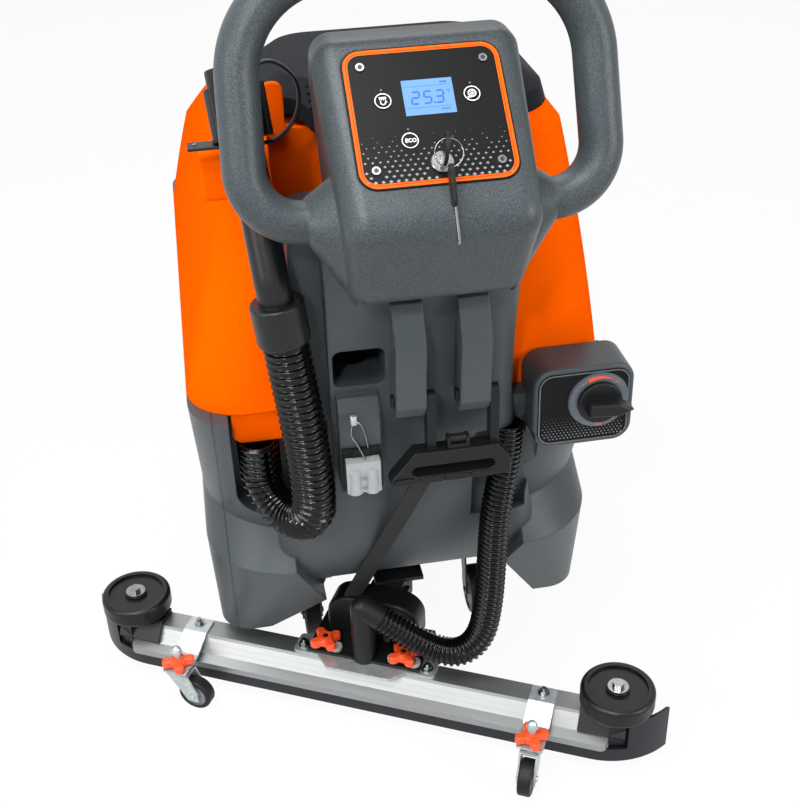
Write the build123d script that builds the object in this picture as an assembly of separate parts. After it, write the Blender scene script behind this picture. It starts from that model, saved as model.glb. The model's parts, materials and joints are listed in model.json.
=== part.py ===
from build123d import *
import math
import os

# Walk-behind floor scrubber dryer with a loop handle, two tanks, a pad deck and a swinging squeegee.
# +X is the machine's right, +Y its front and +Z up from the floor, in millimetres and degrees.
# It is drawn with x = 0 in the middle of the body and y = 0 under the middle of the control panel. At the
# end every piece is moved so that the origin is the bottom centre of the machine's box, hoses left out.

# What is built on both sides, and what hangs free of the box that gives the origin
SIDES = [(-1, "left"), (1, "right")]
HOSES = ("drain_hose", "suction_hose_upper", "suction_hose_lower")

# Clearances
RUN_GAP = 0.06           # running shaft in its bore, on the radius
SEAT_GAP = 0.3           # moving piece above its seat
PART_GAP = 0.5           # fixed pieces that stand beside each other
MOVE_GAP = 1.0           # flat pieces that pass each other
CUT = 1.0                # how far a cut reaches past the face that it opens

# Rounded edges
EDGE_FINE = 0.5
EDGE_THIN = 2.0
EDGE_SMALL = 3.0
EDGE_MEDIUM = 6.0
EDGE_LARGE = 10.0

# Lower body
BODY_HALF_WIDTH = 268.0
BODY_CORNER = 140.0
RIM_CORNER = 72.0
BODY_REAR_Y = 92.0       # rear face at the parting height
BODY_FRONT_Y = 960.0
BODY_FLOOR_Z = 130.0
BODY_WAIST_Z = 322.0
BODY_WALL = 9.0
BODY_DRAFT = 30.0        # sides and front draw in this much at the floor
BODY_TUCK = 100.0        # rear face at the floor, ahead of the rear face at the parting
WAIST_DRAFT = 4.0
WAIST_TUCK = 34.0
PARTING_Z = 505.0        # joint between the grey body and the orange tank
LOBE_EDGE_Z = 262.0      # rear edge of the two lower lobes
LOBE_EDGE_Y = 97.0
LOBE_EDGE_CORNER = 120.0
LOBE_TOP_TUCK = 42.0
LOBE_FLOOR_Z = 106.0
LOBE_FOOT_TUCK = 80.0
LOBE_FOOT_DRAFT = 6.0
LOBE_FOOT_CORNER = 46.0
LOBE_INNER_X = 154.0
LOBE_KNEE_X = 114.0      # knee of the left lobe, the right side leaves room for the hose
LOBE_KNEE_Z = 170.0
LOBE_KNEE_Y = 228.0      # the knees end here, ahead of them the arch is wider
KNEE_FOOT_HALF = 194.0
KNEE_TOP_HALF = 104.0
ARCH_TOP_Z = 206.0       # arch over the swinging arm
ARCH_TOP_HALF = 138.0
ARCH_FOOT_HALF = 212.0
ARCH_FRONT_Y = 330.0

# Neck between the body and the console
NECK_HALF_WIDTH = 132.0
NECK_REAR_Y = 58.0
NECK_FRONT_Y = 190.0
NECK_MID_Z = 600.0
NECK_TOP_Z = 765.0
NECK_CORNER = 30.0
NECK_FOOT_SINK = 4.0     # neck's foot below the top of the arch
NECK_FOOT_FLARE = 40.0
NECK_FOOT_TUCK = 94.0
NECK_WAIST_FLARE = 36.0
NECK_WAIST_TUCK = 38.0
NECK_RIM_FLARE = 2.0
NECK_RIM_TUCK = 12.0
NECK_TOP_DRAW = 4.0
NECK_TOP_LEAN = 14.0
DUCT_X = -22.0           # left side of the cable duct down the neck
DUCT_WIDTH = 120.0
DUCT_DEPTH = 70.0
DUCT_COVER = 36.0        # neck's rear face to the duct
DUCT_SINK = 20.0         # duct's foot below the parting

# Console and loop handle
CONSOLE_X = 16.0         # the console stands a little right of the body's middle
PANEL_Z = 907.0          # middle of the control panel
PANEL_TILT = 41.6
CONSOLE_HALF_WIDTH = 111.0
CONSOLE_TAPER = 17.0     # each side draws in from the top to the chin
CONSOLE_WALL = 8.0
CONSOLE_EDGE = 24.0
CONSOLE_NOSE_RADIUS = 30.0
CONSOLE_CREST_RADIUS = 18.0
CONSOLE_CREST = 40.0     # flat top behind the face
CONSOLE_FALL = 50.0      # the top falls this much to the front wall
CONSOLE_FRONT_Y = 158.0
CONSOLE_MARGIN = 10.0
FACE_UP = 90.0           # panel middle to the face's top edge
FACE_DOWN = 125.0        # panel middle to the nose
CHIN_Y = -34.0
CHIN_Z = 714.0
HANDLE_WIDTH = 46.0      # grip section in the plane of the loop
HANDLE_DEPTH = 58.0
HANDLE_LOW_SPAN = 191.0
HANDLE_TOP_SPAN = 183.0
HANDLE_LEAN = 72.0
HANDLE_LOW_Y = 10.0
HANDLE_LOW_Z = 800.0
HANDLE_RISE = 248.0
HANDLE_LOW_RADIUS = 56.0
HANDLE_TOP_RADIUS = 105.0
HANDLE_ROOT = 86.0       # where the lower bars start inside the console
SHOULDER_STEPS = [(0.0, 78.0, 56.0, -22.0), (22.0, 50.0, 45.0, -10.0), (45.0, 23.6, 29.6, 0.0)]

# Control panel
PANEL_WIDTH = 164.0
PANEL_HEIGHT = 156.0
PANEL_THICK = 3.0
PANEL_CORNER = 20.0
PANEL_SINK = 1.5
PANEL_LEDGE = 13.0       # rim that carries the panel
WINDOW_DEPTH = 30.0
SCREW_X = 63.3
SCREW_Y = 57.6
SCREW_RADIUS = 4.5
SCREW_SHANK = 2.25
SCREW_HEAD = 2.0
SCREW_SLOT = (5.0, 1.2)
DISPLAY_PLACE = (1.5, 19.5)
DISPLAY_WIDTH = 52.0
DISPLAY_HEIGHT = 40.0
DISPLAY_SINK = 0.4
DISPLAY_FLANGE = 3.0
DISPLAY_DEPTH = 6.0
BUTTON_PLACES = {"brush_button": (-45.5, 18.0), "suction_button": (45.5, 18.0), "eco_button": (-25.0,
                                                                                               -28.0)}
BUTTON_RADIUS = 9.0
BUTTON_RISE = 1.2
KEY_PLACE = (3.0, -55.0)
KEY_TURN = -10.0         # how far the key stands turned
KEY_BEZEL_RADIUS = 11.5
KEY_BEZEL_RISE = 4.0
KEY_BARREL_RADIUS = 8.0
KEY_BARREL_DEPTH = 6.0
KEY_BLADE = (2.4, 8.0)
KEY_BOW = (3.6, 30.0, 32.0)
KEY_BOW_RISE = 13.0      # panel's face to the bow
KEY_BOW_ROUND = 0.4      # part of the bow's smaller side
KEY_HOLE_RADIUS = 3.5
KEY_HOLE_OUT = 9.0
KEY_HOLE_RISE = 37.0
RING_RADIUS = 14.0
RING_WIRE = 0.9
RING_SLACK = 0.9         # ring's wire to the edge of the hole that it hangs in
SPARE_LEAN = 31.0        # the spare key leans out over the nose
SPARE_BOW = (3.6, 20.0, 42.0)
SPARE_BLADE = (2.2, 8.0, 36.0)
SPARE_HOLE_INSET = 5.0

# Water valve
VALVE_X = 214.0
VALVE_Z = 497.0
VALVE_WIDTH = 128.0
VALVE_HEIGHT = 112.0
VALVE_FACE_Y = 58.0
VALVE_CORNER = 24.0
VALVE_EDGE = 5.0
VALVE_RIM = 6.0
VALVE_SINK = 2.0
VALVE_PLATE = 3.0
VALVE_ROOT_Y = 200.0     # the housing runs this far into the body
VALVE_KNOB_X = 232.0
VALVE_KNOB_Z = 506.0
VALVE_COLLAR_RADIUS = 38.0
VALVE_COLLAR = 4.0
VALVE_KNOB_RADIUS = 28.0
VALVE_DISC = 7.0
VALVE_GRIP = (38.0, 17.0, 18.0, 19.0)
VALVE_GRIP_TURN = -4.0
VALVE_STEM_RADIUS = 6.0

# Squeegee lift lever, its lugs and the strap
LUG_CENTRE_X = 31.0
LUG_HALF_SPACING = 38.5
LUG_WIDTH = 36.0
LUG_OUTLINE = [(42, 134), (0, 126), (-20, 86), (-23, 78), (-18, 44), (-14, -6), (-4, -22), (12, -20),
               (42, 4)]
LEVER_PIVOT_Y = 36.0
LEVER_PIVOT_Z = 552.0
LEVER_PIN_RADIUS = 5.0
LEVER_PIN_HEAD = 3.0
LEVER_ARM_WIDTH = 11.0
LEVER_DEPTH = 18.0
LEVER_BAR_X = 38.0
LEVER_BAR_HALF = 75.0
LEVER_BAR_TOP_Z = 484.0
LEVER_BAR_BOTTOM_Z = 440.0
LEVER_BAR_REACH = 8.0    # bar's rear face behind the arms
LEVER_BAR_THICK = 22.0
LEVER_CORNERS = (32.0, 10.0, 16.0, 22.0, 4.0)
LEVER_SLOT = (102.0, 14.0)
LEVER_SLOT_PLACE = (4.0, 17.0)
STRAP_WIDTH = 25.0
STRAP_THICK = 3.0
STRAP_TOP = (6.0, 33.0)
STRAP_FOOT = (-76.0, 158.0)
STRAP_END_GAP = 3.5      # room for the strap's slanted ends

# Pocket, connector plate and battery connector
POCKET_X = -62.0
POCKET_Z = 588.0
POCKET_WIDTH = 62.0
POCKET_HEIGHT = 52.0
POCKET_DEEP_Y = 150.0
SPOUT_RADIUS = 18.0
SPOUT_DROP = 70.0
SPOUT_HEIGHT = 40.0
PLATE_X = -66.0
PLATE_WIDTH = 50.0
PLATE_TOP_Z = 550.0
PLATE_BOTTOM_Z = 418.0
PLATE_FACE_Y = 50.0
PLATE_SLOPE = (6.0, 16.0)
CONNECTOR_WIDTH = 42.0
CONNECTOR_HEIGHT = 44.0
CONNECTOR_DEPTH = 16.0
CONNECTOR_Z = 450.0
CONNECTOR_SCREW_RADIUS = 3.0
CONNECTOR_SCREW_ZS = (1.0, -13.0)
CONNECTOR_SLOT = (4.2, 1.0)
CONNECTOR_HOOD = 12.0    # shell above the two barrels
BRACKET_THICK = 4.0
BRACKET_MARGIN = 3.0
BRACKET_CHEEK = 2.6
BRACKET_BELOW = 26.0
BRACKET_ABOVE = 34.0
BRACKET_TAB = 22.0
CHEEK_DEPTH = 9.6
CHEEK_BELOW = 18.0
CHEEK_ABOVE = 24.0
LANYARD_RADIUS = 1.1
LANYARD_BEND = 6.0
LANYARD_ROUTE = [(3, 8, 0.4), (-4, 7, 22), (-14, 8, 38), (-8, 12, 56), (4, 13, 46), (8, 14.5, 12.6)]
FERRULE = (3.0, 12.0)

# Recovery tank and lid
TANK_HALF_WIDTH = 268.0
TANK_TOP_HALF = 194.0
TANK_TOP_X = 24.0         # middle of the tank's top, right of the body's middle
TANK_REAR_Y = 118.0
TANK_TOP_REAR_Y = 158.0
TANK_FRONT_Y = 905.0
TANK_TOP_Z = 832.0
TANK_MID_Z = 650.0
TANK_MID_SHARE = 0.4     # share of the draft that is taken up at mid height
TANK_TOP_CORNER = 70.0
TANK_SHOULDER = 18.0     # the top edge is eased over this height
TANK_SHOULDER_INSET = 14.0
TANK_CREST_Y = 500.0     # the top slopes down ahead of this
TANK_NOSE_Z = 610.0
TANK_WALL = 7.0
TANK_FLOOR = 9.0
TANK_REAR_BULKHEAD = 22.0
TANK_NECK_GAP = 4.0
TANK_LOBE_LEFT_X = -216.0
TANK_LOBE_RIGHT_X = -106.0
TANK_LOBE_BOTTOM_Z = 462.0
TANK_LOBE_DEPTH = 54.0
TANK_LOBE_INSET = 4.0
TANK_LOBE_ROUND = 14.0
TAB_X = -127.0
TAB_Y = 204.0
TAB_WIDTH = 24.0
TAB_THICK = 9.0
TAB_HEIGHT = 56.0
OPENING_HALF = 140.0
OPENING_INSET = 70.0     # lid's rear edge to the opening
OPENING_FRONT_INSET = 40.0
OPENING_CORNER = 50.0
LID_HALF_WIDTH = 182.0
LID_REAR_Y = 172.0
LID_FRONT_Y = 466.0
LID_HEIGHT = 46.0
LID_EDGE_SHARE = 0.45
LID_CORNER = 84.0
LID_EDGE_INSET = 6.0
LID_CROWN_INSET = 46.0
LID_CROWN_REAR = 66.0
LID_CROWN_FRONT = 36.0
LID_CROWN_CORNER = 50.0
LID_WALL = 8.0
LID_GROOVES = 4
LID_GROOVE = 5.0
LID_GROOVE_DEPTH = 2.5
LID_GROOVE_HALF = 110.0
SCALLOP_PLACE = (-165.0, 150.0)
SCALLOP_RADIUS = 88.0    # room round the drain cap
LID_HINGE_Y = 484.0
LID_HINGE_RISE = 10.0
LID_PIN_RADIUS = 4.0
LID_KNUCKLE_RADIUS = 8.0
LID_KNUCKLE_HALF = 50.0
LID_LEAF = 10.0
LID_EAR_X = 62.0
LID_EAR_WIDTH = 18.0
LID_PIN_HALF = 74.0

# Hoses
DRAIN_OD = 54.0
DRAIN_BORE = 40.0
DRAIN_PITCH = 9.5
DRAIN_RIB = 3.0
DRAIN_STEADY = (0.8, 0.6, 0.0)
DRAIN_ROUTE = [(-146, 48, 642), (-140, 46, 590), (-133, 43.5, 525), (-128, 43, 460), (-127, 44, 403.5),
               (-138.5, 59, 378), (-156.5, 83, 368), (-174.5, 107, 378), (-186, 122, 403.5),
               (-186.5, 124, 432), (-186.5, 124, TANK_LOBE_BOTTOM_Z)]
SUCTION_OD = 40.0
SUCTION_BORE = 30.0
SUCTION_PITCH = 6.8
SUCTION_RIB = 2.3
SUCTION_STEADY = (0.0, 1.0, 0.0)
SUCTION_DROP = 28.0      # fall of the hose where it leaves the spigot
SUCTION_LOWER_RUN = 36.0
SUCTION_FIRST_RUN = 36.0
SUCTION_UPPER_ROUTE = [(52, 43, 127), (83, 41, 155), (94.5, 48, 212), (100, 58, 275),
                       (106, 69, 340), (120, 82, 402), (126, 88, 436), (126, 88, 468)]
BEND_SHARE = 0.45        # part of the shorter run that a bend takes up
RIB_STATIONS = [(0.1, 0.0), (0.3, 1.0), (0.65, 1.0), (0.85, 0.0)]
CHANNEL_X = -97.5        # right side of the drain hose's channel
CHANNEL_LEFT_X = -220.0
CHANNEL_DEEP_Y = 82.0
RECESS_DEEP_Y = 190.0
RECESS_FLOOR_Z = 337.0
RECESS_ROUND = 30.0
SHAFT_MARGIN = 8.0       # room round the suction hose in the body
SHAFT_LEAN = 18.0        # the hose leans this much to the left on its way down
SHAFT_HEIGHT = 143.0
SHAFT_ROUND = 7.0
RELIEF_WIDE = 18.0       # the shaft opens out past the side of the neck
RELIEF_FOOT_Z = 345.0
RELIEF_RISE = 30.0
CUFF_RADIUS = 31.0
CUFF_LENGTH = 50.0
TUBE_RADIUS = 20.0
TUBE_TOP = (-167.0, 112.0, 858.0)
TUBE_BEND = 60.0
TUBE_ROOT = 20.0
CAP_RADIUS = 33.0
CAP_HEIGHT = 76.0
CAP_SKIRT = 56.0
CAP_CROWN_INSET = 5.0
CAP_GRIPS = 20
CAP_GRIP_RADIUS = 2.6
CAP_GRIP_OUT = 0.8

# Chassis, drive and casters
CHASSIS_HALF_WIDTH = 168.0
CHASSIS_REAR_Y = 270.0
TONGUE_REAR_Y = 212.0     # the chassis reaches back to the swing pin
TONGUE_SIDE = 36.0
CHASSIS_FRONT_Y = 500.0
CHASSIS_THICK = 6.0
CHASSIS_CORNER = 20.0
RAIL_Z = 176.0           # rails that guide the scrub deck
RAIL_THICK = 10.0
RAIL_HALF_WIDTH = 24.0
RAIL_END = 30.0
RAIL_ROOM = 6.0
AXLE_Y = 415.0
AXLE_RADIUS = 12.5
AXLE_STUB = 4.0
WHEEL_RADIUS = 100.0
WHEEL_WIDTH = 52.0
WHEEL_X = 216.0
WHEEL_EDGE = 8.0
WHEEL_TREAD = 26.0
WHEEL_DISH = 6.0
WHEEL_HUB_RADIUS = 26.0
WELL_GAP = 16.0
WELL_SIDE_GAP = 10.0
GEARBOX = (104.0, 110.0, 69.0)
DRIVE_MOTOR = (98.0, 68.0, 60.0)
REAR_CASTER_X = 128.0
REAR_CASTER_Y = 300.0
REAR_WHEEL_RADIUS = 37.5
REAR_WHEEL_WIDTH = 24.0
REAR_TRAIL = 24.0
REAR_STEM = 7.0
FORK_PLATE = 2.6
FORK_RACE = 4.0
FORK_RACE_MARGIN = 8.0
FORK_FRONT = 9.0
FORK_BACK = 14.0
FORK_TOE = 8.0
FORK_AXLE_RADIUS = 4.0
FORK_AXLE_STUB = 2.0
SMALL_HUB_RADIUS = 9.0
SMALL_TREAD = 7.0
SMALL_DISH = 2.0
BATTERY_SIZE = (168.0, 330.0, 215.0)
BATTERY_BAY_REAR_Y = 305.0
BATTERY_HEADROOM = 22.0
BATTERY_POST = (9.0, 14.0, 30.0)
BATTERY_APART = 1.0
BAY_GAP = 5.0
WATER_REAR_Y = 212.0
WATER_FRONT_WALL = 27.0
VACUUM_Y = 690.0
VACUUM_STAGES = [(72.0, 12.0), (62.0, 80.0), (40.0, 38.0)]

# Scrub deck
DECK_Y = 775.0
DECK_RADIUS = 268.0
DECK_TOP_Z = 120.0
DECK_PLATE = 22.0
DECK_RIM = 7.0
DECK_RIM_Z = 32.0
DECK_LIFT = 35.0
DECK_ROOM = 14.0         # body above the rails
DECK_EDGE = 12.0
PAD_RADIUS = 254.0
PAD_THICK = 24.0
PAD_HOLE_RADIUS = 40.0
DRIVER_THICK = 20.0
DRIVER_INSET = 4.0
SHAFT_RADIUS = 14.0
SHAFT_DEPTH = 29.0       # drive shaft inside the deck motor
MOTOR_RADIUS = 74.0
MOTOR_HEIGHT = 165.0
MOTOR_ROOM = 10.0
GUIDE_X = 135.0
GUIDE_Y = 640.0
GUIDE_RADIUS = 9.0
GUIDE_BOSS = 9.0
GUIDE_ABOVE = 30.0       # guide post above the rail
GUIDE_ROOM = 5.0

# Squeegee, about its swing axis
SWING_Y = 243.0          # upright swing axis in the middle of the body
SWING_REST = -27.6       # yaw at which the squeegee stands
SWING_PIN_RADIUS = 8.0
SWING_HEAD_RADIUS = 24.0
SWING_HEAD_DROP = 19.0   # underside of the swing head below the lift pin
SWING_COLLAR = 5.0
ARM_RADIUS = 149.0       # swing axis to beam middle
BEAM_Y = -ARM_RADIUS
LIFT_BACK = 36.0         # swing axis to the lift pin
LIFT_Z = 104.0
LIFT_PIN_RADIUS = 6.0
LIFT_EYE_RADIUS = 16.0
TONGUE_HALF = 20.0
ARM_CHEEK = 8.0
ARM_PIN_STUB = 3.0
ARM_FRONT = [(14, -12), (14, 12), (-20, 16)]
ARM_REAR = [(34, 40), (8, 14), (8, 0), (40, 0)]
HOOD_WIDTH = 136.0
HOOD_TOP_Z = 155.0
HOOD_HEIGHT = 90.0
HOOD_CORNER = 34.0
HOOD_BACK = 20.0         # beam's front face to the hood
HOOD_DEPTH = 38.0
HOOD_SCOOP = 27.0
HOOD_SCOOP_Z = 122.0
HOOD_SCOOP_DEPTH = 20.0
FOOT_HALF = 83.0
FOOT_BACK = 26.0
FOOT_THICK = 5.0
BEAM_HALF_LENGTH = 352.0
BEAM_TOP_Z = 80.0
BEAM_HALF_STRIP = 15.0
BEAM_LIP_BACK = 46.0
BEAM_LIP_Z = 44.0
BEAM_LIP_ROUND = 10.0
BEAM_WALL = 5.0
BEAM_SHEET = 6.0
BEAM_EDGE = (2.0, 4.0)
BEAM_STEP = (15.0, 14.0, 10.0)
BEAM_GROOVE = 1.6
BEAM_GROOVE_SHARES = (0.35, 0.7)
BLADE_THICK = 4.0
BLADE_INSET = 4.0        # rear blade inside the beam's lip
BLADE_HALF_WIDTH = 440.0
BLADE_BEND = 110.0
BLADE_TOP_GAP = 12.0
BLADE_FOOT_Z = 22.0      # the casters carry the blades clear of the floor
EAR_FRONT = 12.0
EAR_TOP_Z = 92.0
EAR_CLEAR = 26.0         # ears start this far past the beam's end
ROLLER_X = 356.0
ROLLER_RADIUS = 50.0
ROLLER_THICK = 28.0
ROLLER_Z = 94.0
ROLLER_EDGE = 6.0
ROLLER_BOLT = 5.0
ROLLER_HUB_RADIUS = 16.0
ROLLER_DISH = (10.0, 4.0)
ROLLER_ARM = 8.0
ROLLER_ARM_IN = 46.0
ROLLER_ARM_OUT = 18.0
ROLLER_END = [(0.5, -34.5), (20.0, -28.0), (40.0, -15.5), (40.0, 15.0), (0.5, 15.0)]
ROLLER_END_Z = 30.0
ROLLER_SKIRT = (4.0, 3.0, 6.0)
ROLLER_SEAT_RADIUS = 17.0
ROLLER_WASHER = (14.0, 1.7)
ROLLER_NUT = (8.0, 6.0)
CASTER_X = 257.0
CASTER_BACK = 74.0
CASTER_TAB_Z = 66.0
CASTER_TAB_END = 16.0
CASTER_PLATE = 3.0
CASTER_STRIP = 36.0
CASTER_WHEEL_RADIUS = 25.0
CASTER_WHEEL_WIDTH = 18.0
CASTER_TRAIL = 24.0
CASTER_STEM = 5.0
CASTER_STEM_ABOVE = 32.0
CASTER_NUT = (8.0, 6.0)
CASTER_DOME = 6.5
CASTER_TURNS = {"left": 86.0, "right": 0.0}
MOUNT_HALF_LENGTH = 104.0
MOUNT_PLATE = 4.0
MOUNT_REAR = 14.0
MOUNT_FRONT = 22.0
APRON = (70.0, 46.0, 34.0)
BOLT_INSET = 12.0
BOLT_WASHER = (8.0, 1.6)
BOLT_NUT = (6.0, 5.0)
BOLT_END = (3.0, 4.0)
STUD_RADIUS = 4.0
STUD_ABOVE = 30.0
STUD_SINK = 4.0
STUD_GAP = 1.5
KNOB_X = 58.0
KNOB_SPAN = 46.0
KNOB_ARM = 13.0
KNOB_THICK = 10.0
KNOB_CORE = 12.0
KNOB_BOSS = (9.0, 2.0, 3.0)
KNOB_TURNS = (45.0, 30.0)
STANDOFF_RADIUS = 9.0
STANDOFF_HEIGHT = 6.0
STANDOFF_APART = 15.0
SPIGOT_RADIUS = 17.0
SPIGOT_BORE = 13.0
SPIGOT_BEND_Z = 176.0
ELBOW_REACH = 31.0


def plan(half_width, rear, front, corner, z):
    outline = RectangleRounded(2 * half_width, front - rear, corner)
    return Pos(0, (rear + front) / 2, z) * outline


def block(x0, x1, y0, y1, z0, z1):
    size = Box(x1 - x0, y1 - y0, z1 - z0)
    return Pos((x0 + x1) / 2, (y0 + y1) / 2, (z0 + z1) / 2) * size


def upright(radius, z0, z1, x=0.0, y=0.0):
    return Pos(x, y, (z0 + z1) / 2) * Cylinder(radius, z1 - z0)


def crosswise(radius, x0, x1, y, z):
    return Pos((x0 + x1) / 2, y, z) * Rot(0, 90, 0) * Cylinder(radius, x1 - x0)


def side_profile(points, x0, x1):
    outline = make_face(Polyline(*points, close=True))
    return Pos(x0, 0, 0) * extrude(Plane.YZ * outline, x1 - x0)


def front_profile(face, y0, y1):
    return Pos(0, y1, 0) * extrude(Plane.XZ * face, y1 - y0)


# Lower body

def neck(grow):
    half = NECK_HALF_WIDTH + grow
    rear = NECK_REAR_Y - grow
    front = NECK_FRONT_Y + grow
    levels = [(ARCH_TOP_Z - NECK_FOOT_SINK, NECK_FOOT_FLARE, NECK_FOOT_TUCK),
              (BODY_WAIST_Z, NECK_WAIST_FLARE, NECK_WAIST_TUCK), (PARTING_Z, NECK_RIM_FLARE, NECK_RIM_TUCK),
              (NECK_MID_Z, 0, 0), (NECK_TOP_Z, -NECK_TOP_DRAW, -NECK_TOP_LEAN)]
    return loft([plan(half + flare, rear + tuck, front + tuck, NECK_CORNER, z) for z, flare,
                 tuck in levels])


def body_shell():
    floor = plan(BODY_HALF_WIDTH - BODY_DRAFT, BODY_REAR_Y + BODY_TUCK, BODY_FRONT_Y - BODY_DRAFT,
                 BODY_CORNER,
                 BODY_FLOOR_Z)
    waist = plan(BODY_HALF_WIDTH - WAIST_DRAFT, BODY_REAR_Y + WAIST_TUCK, BODY_FRONT_Y - WAIST_DRAFT,
                 BODY_CORNER,
                 BODY_WAIST_Z)
    rim = plan(BODY_HALF_WIDTH, BODY_REAR_Y, BODY_FRONT_Y, RIM_CORNER, PARTING_Z)
    return loft([floor, waist], ruled=True) + loft([waist, rim], ruled=True)


def lobes():
    front = ARCH_FRONT_Y + 2 * BODY_CORNER
    top = plan(BODY_HALF_WIDTH - WAIST_DRAFT, LOBE_EDGE_Y + LOBE_TOP_TUCK, front, BODY_CORNER,
               BODY_WAIST_Z - WAIST_DRAFT)
    edge = plan(BODY_HALF_WIDTH, LOBE_EDGE_Y, front, LOBE_EDGE_CORNER, LOBE_EDGE_Z)
    foot = plan(BODY_HALF_WIDTH - LOBE_FOOT_DRAFT, LOBE_EDGE_Y + LOBE_FOOT_TUCK, front, LOBE_FOOT_CORNER,
                LOBE_FLOOR_Z)
    pair = loft([top, edge], ruled=True) + loft([edge, foot], ruled=True)
    inner = Polyline((-LOBE_KNEE_X, 0), (-LOBE_KNEE_X, LOBE_KNEE_Z), (-LOBE_INNER_X, LOBE_EDGE_Z),
                     (-LOBE_INNER_X, PARTING_Z), (LOBE_INNER_X, PARTING_Z), (LOBE_INNER_X, LOBE_EDGE_Z),
                     (LOBE_KNEE_X, LOBE_KNEE_Z), (LOBE_KNEE_X, 0), close=True)
    pair -= front_profile(make_face(inner), 0, front)
    return pair - block(-BODY_HALF_WIDTH, BODY_HALF_WIDTH, ARCH_FRONT_Y, front + CUT, 0, PARTING_Z)


def arch():
    low = LOBE_FLOOR_Z - CUT
    outline = Polyline((-ARCH_FOOT_HALF, low), (-ARCH_TOP_HALF, ARCH_TOP_Z), (ARCH_TOP_HALF, ARCH_TOP_Z),
                       (ARCH_FOOT_HALF, low), close=True)
    knees = Polyline((-KNEE_FOOT_HALF, low), (-LOBE_KNEE_X, LOBE_KNEE_Z), (-KNEE_TOP_HALF, ARCH_TOP_Z),
                     (ARCH_TOP_HALF, ARCH_TOP_Z), (KNEE_FOOT_HALF, low), close=True)
    wide = front_profile(make_face(outline), LOBE_KNEE_Y, ARCH_FRONT_Y)
    return wide + front_profile(make_face(knees), 0, LOBE_KNEE_Y)


def lug_xs():
    return [LUG_CENTRE_X - LUG_HALF_SPACING, LUG_CENTRE_X + LUG_HALF_SPACING]


def lugs():
    points = [(LEVER_PIVOT_Y + y, LEVER_PIVOT_Z + z) for y, z in LUG_OUTLINE]
    pair = Part()
    for x in lug_xs():
        lug = side_profile(points, x - LUG_WIDTH / 2, x + LUG_WIDTH / 2)
        lug -= crosswise(LEVER_PIN_RADIUS + RUN_GAP, x - LUG_WIDTH, x + LUG_WIDTH, LEVER_PIVOT_Y,
                         LEVER_PIVOT_Z)
        pair += lug
    return pair


def connector_plate():
    ease, drop = PLATE_SLOPE
    points = [(BODY_REAR_Y, PLATE_TOP_Z + drop / 2), (PLATE_FACE_Y + ease, PLATE_TOP_Z),
              (PLATE_FACE_Y, PLATE_TOP_Z - drop), (PLATE_FACE_Y, PLATE_BOTTOM_Z), (BODY_REAR_Y,
                                                                                   PLATE_BOTTOM_Z)]
    return side_profile(points, PLATE_X - PLATE_WIDTH / 2, PLATE_X + PLATE_WIDTH / 2)


def valve_outline(inset):
    size = RectangleRounded(VALVE_WIDTH - 2 * inset, VALVE_HEIGHT - 2 * inset, VALVE_CORNER - inset)
    return Pos(VALVE_X, VALVE_Z) * size


def valve_housing():
    housing = front_profile(valve_outline(0), VALVE_FACE_Y, TANK_REAR_Y - PART_GAP)
    housing = fillet(housing.faces().sort_by(Axis.Y)[0].edges(), VALVE_EDGE)
    root = front_profile(valve_outline(0), VALVE_FACE_Y + VALVE_EDGE, VALVE_ROOT_Y)
    left = VALVE_X - VALVE_WIDTH
    right = VALVE_X + VALVE_WIDTH
    housing += root - block(left, right, 0, VALVE_ROOT_Y + CUT, PARTING_Z, TANK_TOP_Z)
    return housing - front_profile(valve_outline(VALVE_RIM), VALVE_FACE_Y - CUT, VALVE_FACE_Y + VALVE_SINK)


def hose_spaces():
    recess = block(CHANNEL_LEFT_X, CHANNEL_X, 0, RECESS_DEEP_Y, RECESS_FLOOR_Z, PARTING_Z + CUT)
    recess = fillet(recess.edges().filter_by(Axis.Y).group_by(Axis.Z)[0], RECESS_ROUND)
    channel = block(CHANNEL_LEFT_X, CHANNEL_X, 0, CHANNEL_DEEP_Y, PARTING_Z, NECK_TOP_Z + CUT)
    x, y, z = SUCTION_UPPER_ROUTE[-1]
    wide = SUCTION_OD / 2 + SHAFT_MARGIN
    shaft = block(x - wide - SHAFT_LEAN, x + wide, 0, y + wide, z - SHAFT_HEIGHT, z)
    shaft = fillet(shaft.edges().filter_by(Axis.Y).group_by(Axis.Z)[-1], SHAFT_ROUND)
    side = x + wide
    top = VALVE_Z - VALVE_HEIGHT / 2 - VALVE_EDGE
    relief = Polyline((side - CUT, RELIEF_FOOT_Z), (side + RELIEF_WIDE, RELIEF_FOOT_Z + RELIEF_RISE),
                      (side + RELIEF_WIDE, top), (side - CUT, top), close=True)
    shaft += front_profile(make_face(relief), 0, y + wide)
    pocket = Pos(POCKET_X, POCKET_Z) * RectangleRounded(POCKET_WIDTH, POCKET_HEIGHT, EDGE_LARGE)
    return recess + channel + shaft + front_profile(pocket, 0, POCKET_DEEP_Y)


def wheel_spaces():
    inner = WHEEL_X - WHEEL_WIDTH / 2 - WELL_SIDE_GAP
    outer = BODY_HALF_WIDTH + CUT
    radius = WHEEL_RADIUS + WELL_GAP
    spaces = Part()
    for side in (-1, 1):
        low, high = sorted((side * inner, side * outer))
        spaces += crosswise(radius, low, high, AXLE_Y, WHEEL_RADIUS)
        spaces += block(low, high, AXLE_Y - radius, AXLE_Y + radius, 0, WHEEL_RADIUS)
    return spaces


def motor_room(grow):
    top = DECK_TOP_Z + MOTOR_HEIGHT + DECK_LIFT + 2 * MOTOR_ROOM
    return upright(MOTOR_RADIUS + MOTOR_ROOM + grow, 0, top + grow, 0, DECK_Y)


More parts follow.
